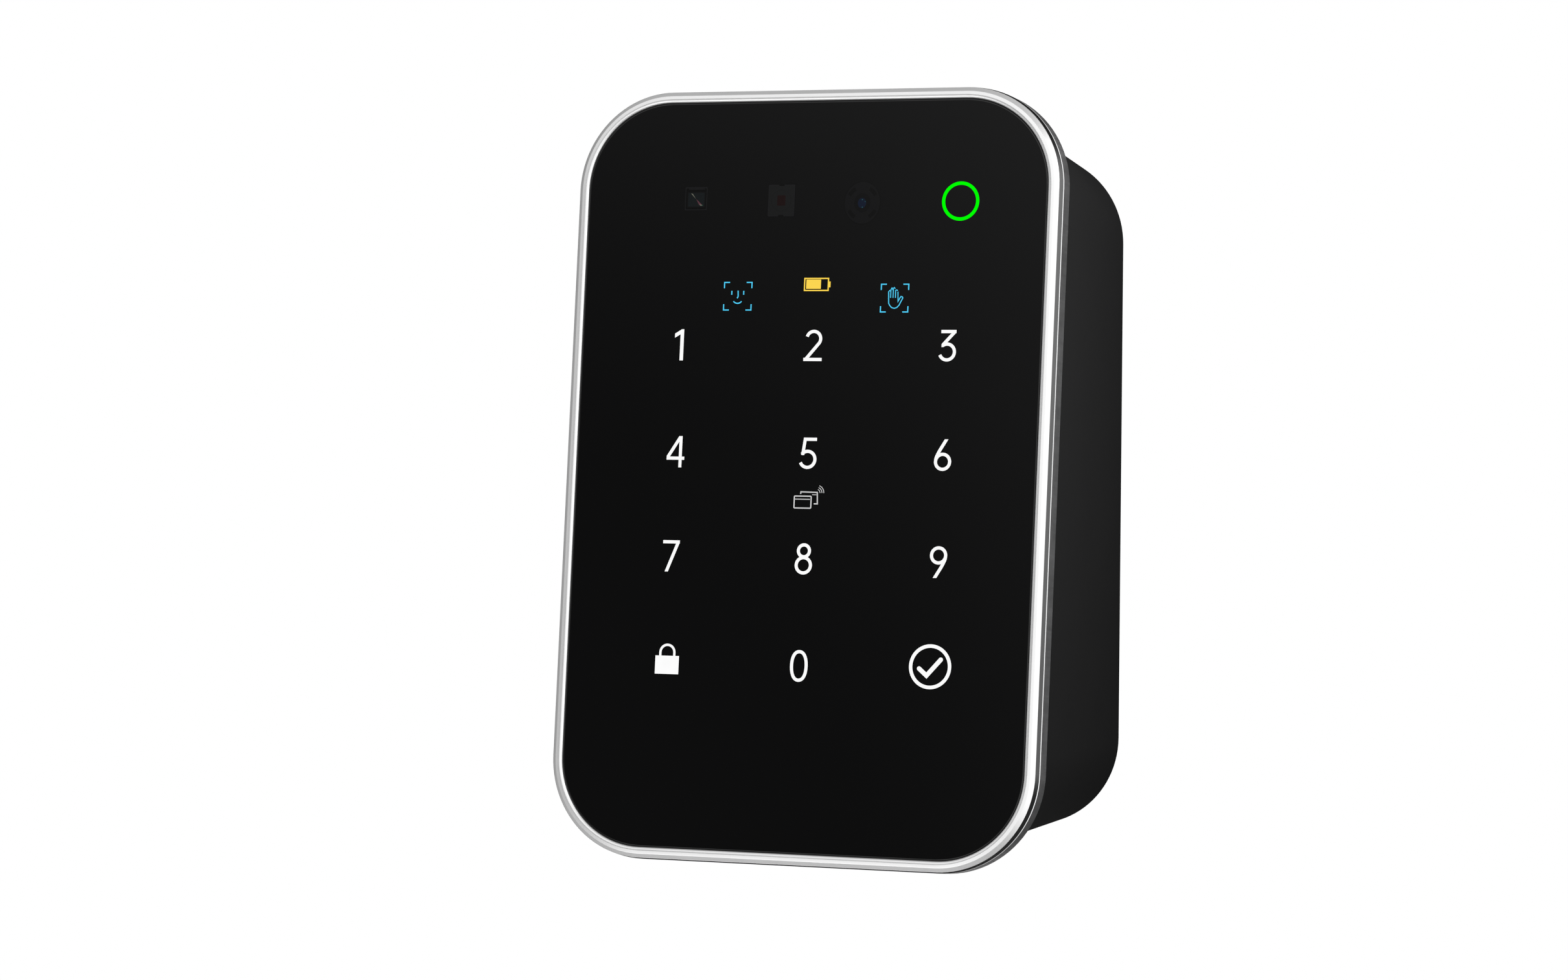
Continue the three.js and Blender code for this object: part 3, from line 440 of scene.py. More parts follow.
def circuit_board():
    """Green solder mask over a faint net of copper tracks."""
    mask = (0.006, 0.05, 0.022)
    look = Look("circuit_board", mask, 0.32)
    grid = look.node("ShaderNodeTexBrick")
    grid.inputs["Scale"].default_value = 1 / (9 * MM)
    grid.inputs["Mortar Size"].default_value = 0.03
    grid.inputs["Color1"].default_value = (*mask, 1)
    grid.inputs["Color2"].default_value = (*shade(mask, 1.25), 1)
    grid.inputs["Mortar"].default_value = (0.02, 0.12, 0.05, 1)
    swap = look.node("ShaderNodeMapping")
    swap.inputs["Rotation"].default_value = (math.pi / 2, 0, 0)
    look.link(look.place, swap.inputs["Vector"])
    look.link(swap.outputs["Vector"], grid.inputs["Vector"])
    look.to("Base Color", grid.outputs["Color"])
    look.to("Roughness", look.spread(look.noise(4), 0.28, 0.38))
    look.bump(grid.outputs["Fac"], 0.03)
    return look.material


LOOKS = {
    "glass": black_glass(),
    "chrome": metal("bright_trim", (0.95, 0.95, 0.95), 0.36, spread=0.02, relief=0.001, tint=0.01),
    "satin_metal": metal("satin_band", (0.86, 0.86, 0.865), 0.36, (1, 0.05, 1), relief=0.003),
    "housing_plastic": housing_plastic(),
    "inner_plastic": moulded("inner_plastic", (0.03, 0.03, 0.032), 0.55, 0.4, 0.01),
    "rubber": moulded("black_rubber", (0.016, 0.016, 0.016), 0.78, 0.3, 0.01),
    "foam": moulded("foam_film", (0.02, 0.02, 0.02), 0.9, 0.5, 0.03),
    "clear_plastic": moulded("light_guide_plastic", (0.7, 0.74, 0.74), 0.15, 1.0, 0.002, 12, 0.03),
    "circuit_board": circuit_board(),
    "copper": metal("copper_track", (0.72, 0.4, 0.24), 0.3),
    "ferrite": moulded("ferrite_sheet", (0.04, 0.038, 0.036), 0.75, 0.2, 0.01),
    "tin_plate": metal("tin_plate", (0.66, 0.66, 0.65), 0.3, (1, 1, 0.1)),
    "steel": metal("zinc_steel", (0.6, 0.61, 0.62), 0.3),
    "black_steel": metal("black_steel", (0.06, 0.06, 0.063), 0.38),
    "chip_black": moulded("chip_epoxy", (0.012, 0.012, 0.014), 0.35, 0.15, 0.006),
    "lamp_lens": moulded("lamp_resin", (0.8, 0.76, 0.6), 0.2, 0.5, 0.002),
    "polyimide": moulded("amber_film", (0.42, 0.17, 0.03), 0.3, 0.6, 0.004),
    "terminal_green": moulded("terminal_green", (0.02, 0.2, 0.06), 0.45, 0.3, 0.01),
    "cell_wrap": cell_sleeve(),
    "galvanised": galvanised(),
}

DARK_LIP = metal("dark_inner_lip", (0.07, 0.07, 0.07), 0.4)
POLISHED_EDGE = metal(
    "polished_edge", (0.9, 0.9, 0.9), 0.12, spread=0.02, relief=0.0005, tint=0.01)

LIGHTS_SHOWN = {
    "white": lit("legend_white", (1.0, 1.0, 1.0)),
    "grey": lit("legend_grey", (0.6, 0.6, 0.6)),
    "blue": lit("legend_blue", (0.085, 0.62, 0.93)),
    "yellow": lit("legend_yellow", (1.0, 0.69, 0.085)),
    "green": lit("legend_green", (0.0, 1.0, 0.0)),
}

SLOT_OF = {row["node"]: row["material_slot"] for row in frame["record"]["subparts"]}
BODY_OF = {
    node: body
    for body, nodes in frame["record"]["behaviour"]["bodies"].items()
    for node in nodes
}


def dress(thing, slot, body, look=None, replaces=()):
    """Gives a piece its material, its body and the CAD nodes it stands for."""
    thing.data.materials.clear()
    thing.data.materials.append(look or LOOKS[slot])
    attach(thing, body)
    if replaces:
        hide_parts(*replaces)
    return thing


def stand_for(thing, node):
    """Puts a finished piece in the place of a CAD node."""
    return dress(thing, SLOT_OF[node], BODY_OF[node], replaces=(node,))


# ------------------------------------------------------------------ front face

def build_glass():
    """The glass, with a hairline gap round it and a small bevel."""
    edge = 0.12
    gap = 0.02
    profile = [(edge + 0.15, 0.0), (edge, 0.0), (edge * 0.3, edge * 0.3), (0.0, edge)]
    profile.append((0.0, GLASS_THICKNESS))
    glass = frame_sweep(
        "glass_panel",
        [(TRIM_WIDTH + gap + inset, depth) for inset, depth in profile],
        looped=False,
    )
    stand_for(smooth(glass, 50), "front_glass")


def build_trim():
    """Bright ring: rounded inner shoulder, gently sloping crown and chamfer, polished edge."""
    inner = TRIM_WIDTH - 0.1  # the dark lip fills the rest
    outer = TRIM_DRAFT
    reach, rise, shoulder_steps = 0.58, 0.32, 8
    profile = [(inner, 0.5), (inner, -0.04)]
    for step in range(shoulder_steps + 1):
        angle = math.pi / 2 * step / shoulder_steps
        profile.append((inner - reach + reach * math.cos(angle), -0.08 - rise * math.sin(angle)))
    profile += [(outer + 1.18, -0.392), (outer + 0.74, -0.32)]
    profile += [(outer + 0.67, -0.295), (outer + 0.6, -0.255), (outer + 0.06, 0.13)]
    profile += [(outer + 0.06, 1.5), (inner, 1.5)]
    stand_for(smooth(frame_sweep("bright_trim_ring", profile), 40), "chrome_bezel")
    edge = [(outer + 0.06, 0.13), (outer + 0.03, 0.155), (outer, 0.2), (outer - 0.01, 0.26)]
    edge += [(0.02, 1.58), (0.02, 1.64), (0.1, 1.7), (0.6, 1.7), (0.6, 0.13)]
    dress(smooth(frame_sweep("trim_outer_edge", edge), 40), "chrome", "terminal", POLISHED_EDGE)
    lip = [(TRIM_WIDTH, 0.6), (TRIM_WIDTH, 0.02), (TRIM_WIDTH - 0.04, -0.02)]
    lip += [(inner, -0.05), (inner, 0.6)]
    dress(smooth(frame_sweep("trim_inner_lip", lip), 40), "chrome", "terminal", DARK_LIP)


def build_band():
    """Satin band behind the ring, with dark rubber rings in the joints ahead of and behind it as
    painted shade in these grooves.
    """
    profile = [(0.14, 1.85), (0.0, 1.99), (0.0, 4.85), (0.25, 5.1), (1.6, 5.1), (1.6, 1.85)]
    stand_for(smooth(frame_sweep("satin_side_band", profile), 30), "side_frame")
    # painted shade: black rings darken the grooves ahead of and behind the band
    front_shade_ring = frame_sweep("trim_joint_shade_ring", [(0.2, 1.6), (0.2, 1.95), (1.5, 1.95), (1.5, 1.6)])
    dress(smooth(front_shade_ring), "rubber", "terminal")
    rear_shade_ring = frame_sweep("rim_joint_shade_ring", [(0.7, 4.9), (0.7, 6.0), (1.6, 6.0), (1.6, 4.9)])
    dress(smooth(rear_shade_ring), "rubber", "terminal")


# ------------------------------------------------------------------ housing

def flare_at(share):
    """How far the wall flares out; share 0 is the rim and 1 the back."""
    return FLARE * max(0.0, 1 - share / FLARE_LENGTH) ** 2.4


def wall_ring(share, inset):
    """Ring of the drafted wall, moved in by inset."""
    ring = []
    for front, back in zip(outline(HOUSING_FRONT, inset), outline(HOUSING_BACK, inset)):
        start = FACE_MM @ Vector((front[0], RIM_DEPTH, front[1]))
        end = Vector((back[0], BACK_RIM_Y, back[1]))
        ring.append(start.lerp(end, share))
    return ring


def wall_ring_at(y, inset):
    """The same wall cut square at one distance from the wall plane."""
    ring = []
    for start, end in zip(wall_ring(0, inset), wall_ring(1, inset)):
        ring.append(start.lerp(end, (y - start.y) / (end.y - start.y)))
    return ring


def bore(x, z, radius, near, far, sides=40):
    """A cutter along Y."""
    profile = [(0, near), (radius, near), (radius, far), (0, far)]
    return turned("cutter", profile, (x, 0, z), "Y", sides)


def shaft(x, y, radius, low, high):
    """A cutter along Z."""
    return turned("cutter", [(0, low), (radius, low), (radius, high), (0, high)], (x, y, 0))


def box_cutter(low, high):
    points = list(product(*zip(low, high)))
    faces = [(0, 1, 3, 2), (4, 6, 7, 5), (0, 4, 5, 1), (2, 3, 7, 6), (0, 2, 6, 4), (1, 5, 7, 3)]
    return mesh_object("cutter", points, faces)


def keyhole_cutter(x, neck_z):
    """Round hole below, and a narrow slot above that the stud's neck lies in at rest."""
    lift, slot, hole = 6.0, 2.0, 4.2
    hole_z = neck_z - lift
    side = math.degrees(math.asin(slot / hole))
    path = arc((x, hole_z), hole, 90 + side, 450 - side, 40)
    path += arc((x, neck_z), slot, 0, 180, 16)
    rings = [[(px, y, pz) for px, pz in path] for y in (INSIDE, 0)]
    return loft("cutter", rings)


# Where the cutters end: in Y inside the back wall, and in Z on each side of the underside.
INSIDE = -20
BELOW = -90
ABOVE = -52

HEAD_HOLE, SHANK_HOLE = 2.6, 1.55  # radii of the holes for the screws


def opening(node, gap, low_z, high_z):
    """A square opening through the underside, a gap wider than a node."""
    low, high = node_box(node)
    return box_cutter((low.x - gap, low.y - gap, low_z), (high.x + gap, high.y + gap, high_z))


def build_housing():
    """The moulding as one lofted skin, inside first, with every opening cut through it."""
    outer = [0.0, 0.004, 0.01, 0.018, 0.028, 0.04, 0.055, 0.072, 0.092]
    outer += [FLARE_LENGTH, 0.2, 0.4, 0.7]
    rings = [wall_ring_at(RECESS_INNER_Y, WALL), wall_ring(0.3, WALL), wall_ring(0.0, WALL)]
    rings.append(wall_ring(0.0, 0.35 - flare_at(0)))
    rings += [wall_ring(share, -flare_at(share)) for share in outer]
    rings += [wall_ring(0.992, 0), wall_ring(0.998, 0.12), wall_ring(1.0, 0.4)]
    lip = RECESS_LIP
    rings += [wall_ring(1.0, lip - 0.2), wall_ring(0.997, lip), wall_ring_at(RECESS_FLOOR_Y, lip)]
    shell = loft("housing_shell", rings)

    cuts = [
        opening("battery_drawer", 0.2, BELOW, -40),
        opening("port_cover", 0.25, BELOW, node_box("port_cover")[0].z + 1.5),
        opening("usb_port", 0.3, -58, -54),
    ]
    button = middle("reset_button")
    cuts.append(shaft(button.x, button.y, 1.75, BELOW, ABOVE))
    for name in ("case_screw_bottom_left", "case_screw_bottom_right", "locking_screw"):
        centre, seat = middle(name), node_box(name)[0].z + 1.5
        cuts.append(shaft(centre.x, centre.y, HEAD_HOLE, BELOW, seat + 0.15))
        cuts.append(shaft(centre.x, centre.y, SHANK_HOLE, seat, ABOVE))
    for name in ("case_screw_top_left", "case_screw_top_right"):
        centre, seat = middle(name), RECESS_FLOOR_Y - 0.9
        cuts.append(bore(centre.x, centre.z, HEAD_HOLE, seat, 2))
        cuts.append(bore(centre.x, centre.z, SHANK_HOLE, INSIDE, seat + 0.1))
    grommet = middle("cable_grommet")
    cuts.append(bore(grommet.x, grommet.z, 6.0, INSIDE, 0, 64))
    plunger = middle("tamper_plunger")
    cuts.append(bore(plunger.x, plunger.z, 2.4, INSIDE, 0))
    for name in ("wall_stud_left", "wall_stud_right"):
        stud = middle(name)
        cuts.append(keyhole_cutter(stud.x, stud.z))
    combine(shell, cuts, "DIFFERENCE")
    stand_for(smooth(shell, 32), "rear_housing")


# ------------------------------------------------------------------ lit legends

# Depths of the thin lit slabs, just proud of the glass.
LEGEND_TOP = -0.035
LEGEND_BOTTOM = -0.006


def ribbon(points, width, closed=False):
    """Both sides of a stroke of even width, mitred at its corners."""
    count = len(points)
    left, right = [], []
    for k, point in enumerate(points):
        here = Vector(point)
        before = Vector(points[k - 1]) if closed or k else None
        after = Vector(points[(k + 1) % count]) if closed or k < count - 1 else None
        into = (here - before).normalized() if before is not None else None
        out = (after - here).normalized() if after is not None else None
        along = ((into or out) + (out or into)).normalized()
        across = Vector((-along.y, along.x))
        edge = out or into
        lean = across.dot(Vector((-edge.y, edge.x)))
        reach = width / 2 / max(lean, 0.35)
        left.append(here + across * reach)
        right.append(here - across * reach)
    return left, right


def stroke(points, width, closed=False, clip=None):
    """A thin lit slab along a path, inside clip (low x, low z, high x, high z) if one is given."""
    bm = bmesh.new()
    left, right = (
        [bm.verts.new((p.x * MM, LEGEND_TOP * MM, p.y * MM)) for p in side]
        for side in ribbon(points, width, closed)
    )
    count = len(left)
    for k in range(count if closed else count - 1):
        after = (k + 1) % count
        bm.faces.new((left[k], right[k], right[after], left[after]))
    if clip:
        planes = (
            ((clip[0], 0, 0), (-1, 0, 0)),
            ((0, 0, clip[1]), (0, 0, -1)),
            ((clip[2], 0, 0), (1, 0, 0)),
            ((0, 0, clip[3]), (0, 0, 1)),
        )
        for spot, normal in planes:
            bmesh.ops.bisect_plane(
                bm,
                geom=bm.verts[:] + bm.edges[:] + bm.faces[:],
                plane_co=Vector(spot) * MM,
                plane_no=normal,
                clear_outer=True,
                dist=1e-9,
            )
    return thickened(bm)


def filled(points):
    """A thin lit slab with this outline."""
    bm = bmesh.new()
    bm.faces.new([bm.verts.new((x * MM, LEGEND_TOP * MM, z * MM)) for x, z in points])
    return thickened(bm)


def thickened(bm):
    """An object from flat faces, given the slabs' thickness."""
    grown = bmesh.ops.extrude_face_region(bm, geom=bm.faces[:])
    moved = [part for part in grown["geom"] if isinstance(part, bmesh.types.BMVert)]
    bmesh.ops.translate(bm, verts=moved, vec=(0, (LEGEND_BOTTOM - LEGEND_TOP) * MM, 0))
    bmesh.ops.recalc_face_normals(bm, faces=bm.faces)
    mesh = bpy.data.meshes.new("stroke")
    bm.to_mesh(mesh)
    bm.free()
    return new_object("stroke", mesh)


def circle(x, z, radius, steps=48):
    return arc((x, z), radius, 0, 360 - 360 / steps, steps - 1)


def legend(name, strokes, x, z, colour, size=1.0):
    """Joins strokes into one lit piece, scaled by size and put at a place on the face."""
    first, *rest = strokes
    if rest:
        combine(first, rest, "UNION")
    first.name = name
    first.data.name = name
    first.data.transform(Matrix.Diagonal((size, 1, size, 1)))
    first.data.transform(Matrix.Translation(Vector((x, 0, z)) * MM))
    first.matrix_world = FACE
    return dress(first, "clear_plastic", "terminal", LIGHTS_SHOWN[colour])


DIGIT_HEIGHT = 5.25
STROKE = 0.102  # of the digit's height


def digit_strokes(digit):
    """Strokes of a thin plain numeral one unit tall, and its width."""
    half = STROKE / 2
    if digit in "69":
        bowl = arc((0.29, 0.295), 0.235, 0, 345, 34)
        stem = [(0.43, 1.06), (0.31, 0.86), (0.2, 0.68), (0.115, 0.52), (0.068, 0.4)]
        stem.append((0.055, 0.295))
        parts = [
            stroke(bowl, STROKE, closed=True),
            stroke(curve_through(stem), STROKE, clip=(-1, 0.25, 2, 1)),
        ]
        if digit == "9":
            half_turn = Matrix.Rotation(math.pi, 4, "Y")
            for part in parts:
                part.data.transform(Matrix.Translation((0.58 * MM, 0, 1 * MM)) @ half_turn)
        return parts, 0.58
    if digit == "0":
        oval = []
        for c, s in circle(0, 0, 1, 60):
            oval.append((
                0.305 + 0.247 * math.copysign(abs(c) ** 0.9, c),
                0.5 + (0.5 - half) * math.copysign(abs(s) ** 0.9, s),
            ))
        return [stroke(oval, STROKE, closed=True)], 0.61
    if digit == "1":
        return [filled([
            (0.0, 0.861), (0.0, 0.727), (0.192, 0.84), (0.192, 0.0),
            (0.31, 0.0), (0.31, 1.0), (0.235, 1.0),
        ])], 0.42  # wider than its outline, so it stands a little left of the column
    if digit == "2":
        over = arc((0.325, 0.708), 0.235, 163, -34)
        return [
            stroke(over + [(0.01, -0.02)], STROKE, clip=(0, 0, 2, 1)),
            stroke([(0, half), (0.62, half)], STROKE),
        ], 0.62
    if digit == "3":
        bowl = arc((0.285, 0.307), 0.249, 128, -158)
        return [
            stroke(bowl, STROKE),
            stroke([(0.06, 0.44), (0.6, 1.02)], STROKE, clip=(0.1, 0.46, 0.575, 1)),
            stroke([(0.075, 1 - half), (0.575, 1 - half)], STROKE),
        ], 0.59
    if digit == "4":
        return [
            stroke([(0.47, 0), (0.47, 1)], STROKE),
            stroke([(0.52, 1.08), (-0.03, 0.22)], STROKE, clip=(0, 0.24, 0.5, 1)),
            stroke([(0, 0.293), (0.61, 0.293)], STROKE),
        ], 0.61
    if digit == "5":
        bowl = arc((0.275, 0.313), 0.255, 141, -156)
        return [
            stroke(bowl, STROKE),
            stroke([(0.18, 1.0), (0.105, 0.42)], STROKE, clip=(0, 0.45, 1, 1)),
            stroke([(0.125, 1 - half), (0.57, 1 - half)], STROKE),
        ], 0.59
    if digit == "7":
        return [
            stroke([(0.57, 1.06), (0.125, -0.06)], STROKE, clip=(0, 0, 0.575, 1)),
            stroke([(0, 1 - half), (0.575, 1 - half)], STROKE),
        ], 0.575
    return [
        stroke(arc((0.295, 0.3), 0.242, 0, 350, 35), STROKE, closed=True),
        stroke(arc((0.295, 0.755), 0.188, 0, 350, 35), STROKE, closed=True),
    ], 0.59


def curve_through(points):
    """A smooth path through points, as a Catmull-Rom curve."""
    steps = 6
    padded = [points[0]] + list(points) + [points[-1]]
    path = []
    for k in range(1, len(padded) - 2):
        a, b, c, d = (Vector(p) for p in padded[k - 1:k + 3])
        for step in range(steps):
            t = step / steps
            path.append(0.5 * (
                2 * b + (c - a) * t + (2 * a - 5 * b + 4 * c - d) * t ** 2
                + (3 * b - a - 3 * c + d) * t ** 3
            ))
    path.append(Vector(points[-1]))
    return [tuple(p) for p in path]


# Centres of the keys on the face.
KEY_COLUMNS = (-22.9, 1.0, 24.7)
KEY_ROWS = (21.6, 3.6, -13.9, -31.6)
DIGIT_WORDS = "zero one two three four five six seven eight nine".split()


def build_digits():
    for number in range(1, 11):
        digit = number % 10
        row, column = divmod(number - 1, 3)
        if digit == 0:
            row, column = 3, 1
        strokes, width = digit_strokes(str(digit))
        legend(
            f"digit_{DIGIT_WORDS[digit]}",
            strokes,
            KEY_COLUMNS[column] - width * DIGIT_HEIGHT / 2,
            KEY_ROWS[row] - DIGIT_HEIGHT / 2,
            "white",
            DIGIT_HEIGHT,
        )


def box_outline(low_x, low_z, high_x, high_z):
    return [(low_x, low_z), (high_x, low_z), (high_x, high_z), (low_x, high_z)]


def build_lock_and_tick():
    body = filled(box_outline(-2.135, -3.05, 2.135, 0))
    hoop_radius = 1.27
    hoop = [(hoop_radius, -0.2)] + arc((0, 0.55), hoop_radius, 0, 180) + [(-hoop_radius, -0.2)]
    legend("lock_symbol", [body, stroke(hoop, 0.4)], -22.72, -30.6, "white")

    ring = stroke(arc((0, 0), 3.38, 0, 354, 59), 0.58, closed=True)
    tick_width = 0.74
    start, corner, end = (-1.90, -0.35), (-0.57, -1.46), (1.81, 1.20)
    tick = stroke([start, corner, end], tick_width)
    tips = [filled(circle(*spot, tick_width / 2, 20)) for spot in (start, end)]
    legend("tick_symbol", [ring, tick, *tips], 24.04, -31.04, "white")


def corner_brackets(half_x, half_z, arm, width):
    """The four corner strokes round the face and palm symbols."""
    parts = []
    for sx, sz in product((-1, 1), (-1, 1)):
        x, z = sx * half_x, sz * half_z
        parts.append(stroke([(x - sx * arm, z), (x, z), (x, z - sz * arm)], width))
    return parts


def build_icons():
    thin = 0.19
    face = corner_brackets(2.48, 2.32, 0.97, thin)
    face += [stroke([(x, 0.9), (x, 0.25)], thin) for x in (-1.1, 1.05)]
    face.append(stroke([(0.02, 0.93), (0.07, 0.0), (0.0, -0.21), (-0.13, -0.32)], thin))
    face.append(stroke(arc((0, -0.25), 0.95, 220, 320, 12), thin))
    legend("face_symbol", face, -12.93, 29.8, "blue")

    case = stroke(box_outline(-2.115, -1.005, 2.115, 1.005), 0.21, closed=True)
    charge = filled(box_outline(-1.81, -0.725, 0.79, 0.805))
    cap = filled(box_outline(2.24, -0.48, 2.5, 0.48))
    legend("battery_symbol", [case, charge, cap], 1.13, 31.76, "yellow")

    hand = corner_brackets(2.41, 2.3, 0.95, thin)
    little = [(-1.09, 1.06), (-0.92, 1.25), (-0.72, 1.12)]
    palm = [(-1.09, 1.06), (-1.0, -0.87), (-0.83, -1.19), (-0.47, -1.57), (0.0, -1.7)]
    palm += [(0.45, -1.57), (0.83, -1.19), (1.04, -0.76), (1.45, 0.01), (1.36, 0.2)]
    palm += [(1.13, 0.26), (0.96, 0.06), (0.63, -0.55), (0.55, 1.06)]
    hand.append(stroke(palm, 0.16))
    hand.append(stroke(little, 0.14))
    # each finger's left side, the top of that side, and the middle of its tip
    fingers = (
        (-0.7, 1.39, (-0.52, 1.68)),
        (-0.28, 1.6, (-0.12, 1.76)),
        (0.14, 1.28, (0.33, 1.36)),
    )
    for x, top, tip in fingers:
        hand.append(stroke([(x, 0.04), (x, top), tip, (2 * tip[0] - x, top - 0.05)], 0.14))
    legend("palm_symbol", hand, 15.08, 29.48, "blue")

    ring = stroke(arc((0, 0), 2.97, 0, 354, 59), 0.56, closed=True)
    legend("status_ring", [ring], 25.93, 45.5, "green")


def build_card_icon():
    front = stroke(outline((3.0, 1.98, 0.15), 0, 5, 0.37, -4.49), 0.2, closed=True)
    stripe = stroke([(-1.0, -4.01), (1.65, -4.01)], 0.14)
    rear = [(-0.03, -3.13), (0.01, -2.79), (2.92, -2.84), (3.01, -4.74), (2.38, -4.74)]
    back = stroke(rear, 0.2)
    back_stripe = stroke([(2.02, -3.24), (2.77, -3.24)], 0.11)
    waves = [stroke(arc((2.81, -2.93), reach, 0, 70, 10), 0.11) for reach in (0.59, 0.93, 1.27)]
    legend("card_symbol", [front, stripe, back, back_stripe, *waves], 0, 0, "grey")


# ------------------------------------------------------------------ sensors seen in the glass

LAYER_FIRST = 0.010  # how far the lowest layer stands proud of the glass
LAYER_STEP = 0.006


def behind_glass(name, tone):
    """Something dark seen through the glass: its own faint tone under the same gloss; the same
    slabs also carry the painted reflections and highlights on the sensors.
    """
    look = Look(name, tone, 0.04, IOR=1.5)
    look.to("Base Color", look.mix(look.noise(0.5, detail=2), shade(tone, 0.9), shade(tone, 1.1)))
    return look.material


def seen_through(name, shape, layer, look):
    """A thin slab just proud of the glass, with the outline given in face millimetres."""
    top = -LAYER_FIRST - LAYER_STEP * layer
    rings = [[(x, depth, z) for x, z in shape] for depth in (top, 0.0)]
    return dress(loft(name, rings, place=FACE), "glass", "terminal", look)


def square(x, z, width, height, radius=0.12):
    return outline((width, height, radius), 0, 4, x, z)


def ellipse(x, z, half_x, half_z):
    return [(x + half_x * c, z + half_z * s) for c, s in circle(0, 0, 1)]


def build_sensors():
    """The dot projector, the infrared lamp and the camera, from left to right."""
    grey = behind_glass("sensor_grey", (0.0085, 0.0085, 0.0095))
    dark = behind_glass("sensor_dark", (0.0004, 0.0004, 0.0004))
    pack = behind_glass("sensor_package", (0.0075, 0.0078, 0.0080))
    dish = behind_glass("sensor_dish", (0.0062, 0.0064, 0.0066))
    mid = behind_glass("sensor_mid", (0.0032, 0.0032, 0.0036))
    deep = behind_glass("sensor_deep", (0.0012, 0.0012, 0.0014))
    teal = behind_glass("sensor_teal", (0.0052, 0.0075, 0.0085))
    red = behind_glass("emitter_red", (0.0085, 0.0012, 0.0012))
    blue = behind_glass("lens_blue", (0.002, 0.0065, 0.022))
    # cyan: painted highlight colour for the glints on the camera's lens
    cyan = behind_glass("painted_glint_cyan", (0.012, 0.07, 0.08))
    # pink, pale and green: painted reflection colours for the projector window's iridescent sheen
    pink = behind_glass("painted_reflection_pink", (0.10, 0.035, 0.05))
    pale = behind_glass("painted_reflection_pale", (0.14, 0.14, 0.11))
    green = behind_glass("painted_reflection_green", (0.008, 0.07, 0.04))

    x, z = -21.31, 46.29
    seen_through("projector_rim", square(x, z, 4.0, 3.89), 0, grey)
    seen_through("projector_body", square(x, z - 0.03, 3.72, 3.55), 1, dark)
    # painted highlight: a grey strip along the top of the projector's frame
    seen_through("projector_top_highlight", square(x + 0.1, z + 1.62, 2.9, 0.16, 0.05), 2, grey)
    seen_through("projector_bezel", square(x + 0.03, z - 0.18, 3.2, 2.6), 2, mid)
    seen_through("projector_window", square(x + 0.03, z - 0.18, 2.91, 2.27), 3, teal)
    # painted reflection: the pale, pink and green triangles across the window are an iridescent
    # sheen
    middle_x, middle_z = x - 0.02, z - 0.05
    window_reflections = (
        ("projector_streak_high", (-0.95, 0.95), (-0.62, 0.9), (-0.02, 0.0), pale),
        ("projector_streak_low", (1.32, -1.15), (0.62, -1.02), (0.02, 0.02), pink),
        ("projector_streak_end", (1.32, -1.15), (0.85, -1.16), (0.62, -0.8), pale),
        ("projector_streak_corner", (1.38, -1.12), (1.1, -1.2), (1.2, -0.98), green),
    )
    for layer, (name, *corners, look) in enumerate(window_reflections):
        seen_through(name, [(middle_x + dx, middle_z + dz) for dx, dz in corners], 4 + layer, look)

    x, z = -5.84, 45.86
    seen_through("lamp_outline", square(x, z, 5.0, 5.6, 0.2), 0, dark)
    seen_through("lamp_package", square(x, z, 4.74, 5.32, 0.15), 1, grey)
    seen_through("lamp_face", square(x, z, 4.4, 4.98, 0.15), 2, pack)
    for side, name in ((1, "lamp_notch_top"), (-1, "lamp_notch_bottom")):
        seen_through(name, square(x, z + side * 2.55, 0.95, 0.26, 0.05), 3, dark)
    seen_through("lamp_reflector_rim", circle(x, z, 1.85), 3, dish)
    seen_through("lamp_reflector", circle(x, z, 1.7), 4, pack)
    seen_through("lamp_emitter", square(x, z, 1.47, 1.72, 0.1), 5, red)

    x, z = 8.64, 45.36
    seen_through("camera_outline", ellipse(x, z, 3.3, 3.66), 0, dark)
    seen_through("camera_ring", ellipse(x, z, 3.12, 3.48), 1, mid)
    for turn, name in enumerate(("one", "two", "three", "four")):
        start = 28 + 90 * turn
        block = arc((x, z), 2.95, start, start + 34, 8) + arc((x, z), 2.3, start + 34, start, 8)
        seen_through(f"camera_block_{name}", block, 2, dark)
    seen_through("camera_step", ellipse(x, z, 2.05, 2.2), 3, mid)
    seen_through("camera_well", ellipse(x, z, 1.45, 1.6), 4, deep)
    seen_through("camera_pupil", ellipse(x - 0.05, z - 0.05, 0.74, 0.86), 5, blue)
    # painted highlights: small cyan glints on the camera's lens
    seen_through("camera_glint_high", circle(x, z + 0.52, 0.12, 12), 6, cyan)
    seen_through("camera_glint_side", circle(x + 0.5, z + 0.2, 0.09, 12), 6, cyan)
    seen_through("camera_glint_low", circle(x + 0.05, z - 0.75, 0.11, 12), 6, cyan)


# ------------------------------------------------------------------ fastenings and fittings

def refined(name, node, width):
    """The CAD node's own shape with its edges rounded."""
    source = frame["nodes"][node]
    mesh = source.data.copy()
    mesh.name = name
    mesh.transform(source.matrix_world)
    mesh.materials.clear()
    turn_outward(mesh, merge=1e-6, flat=math.radians(1))
    return stand_for(smooth(bevelled(new_object(name, mesh), width)), node)


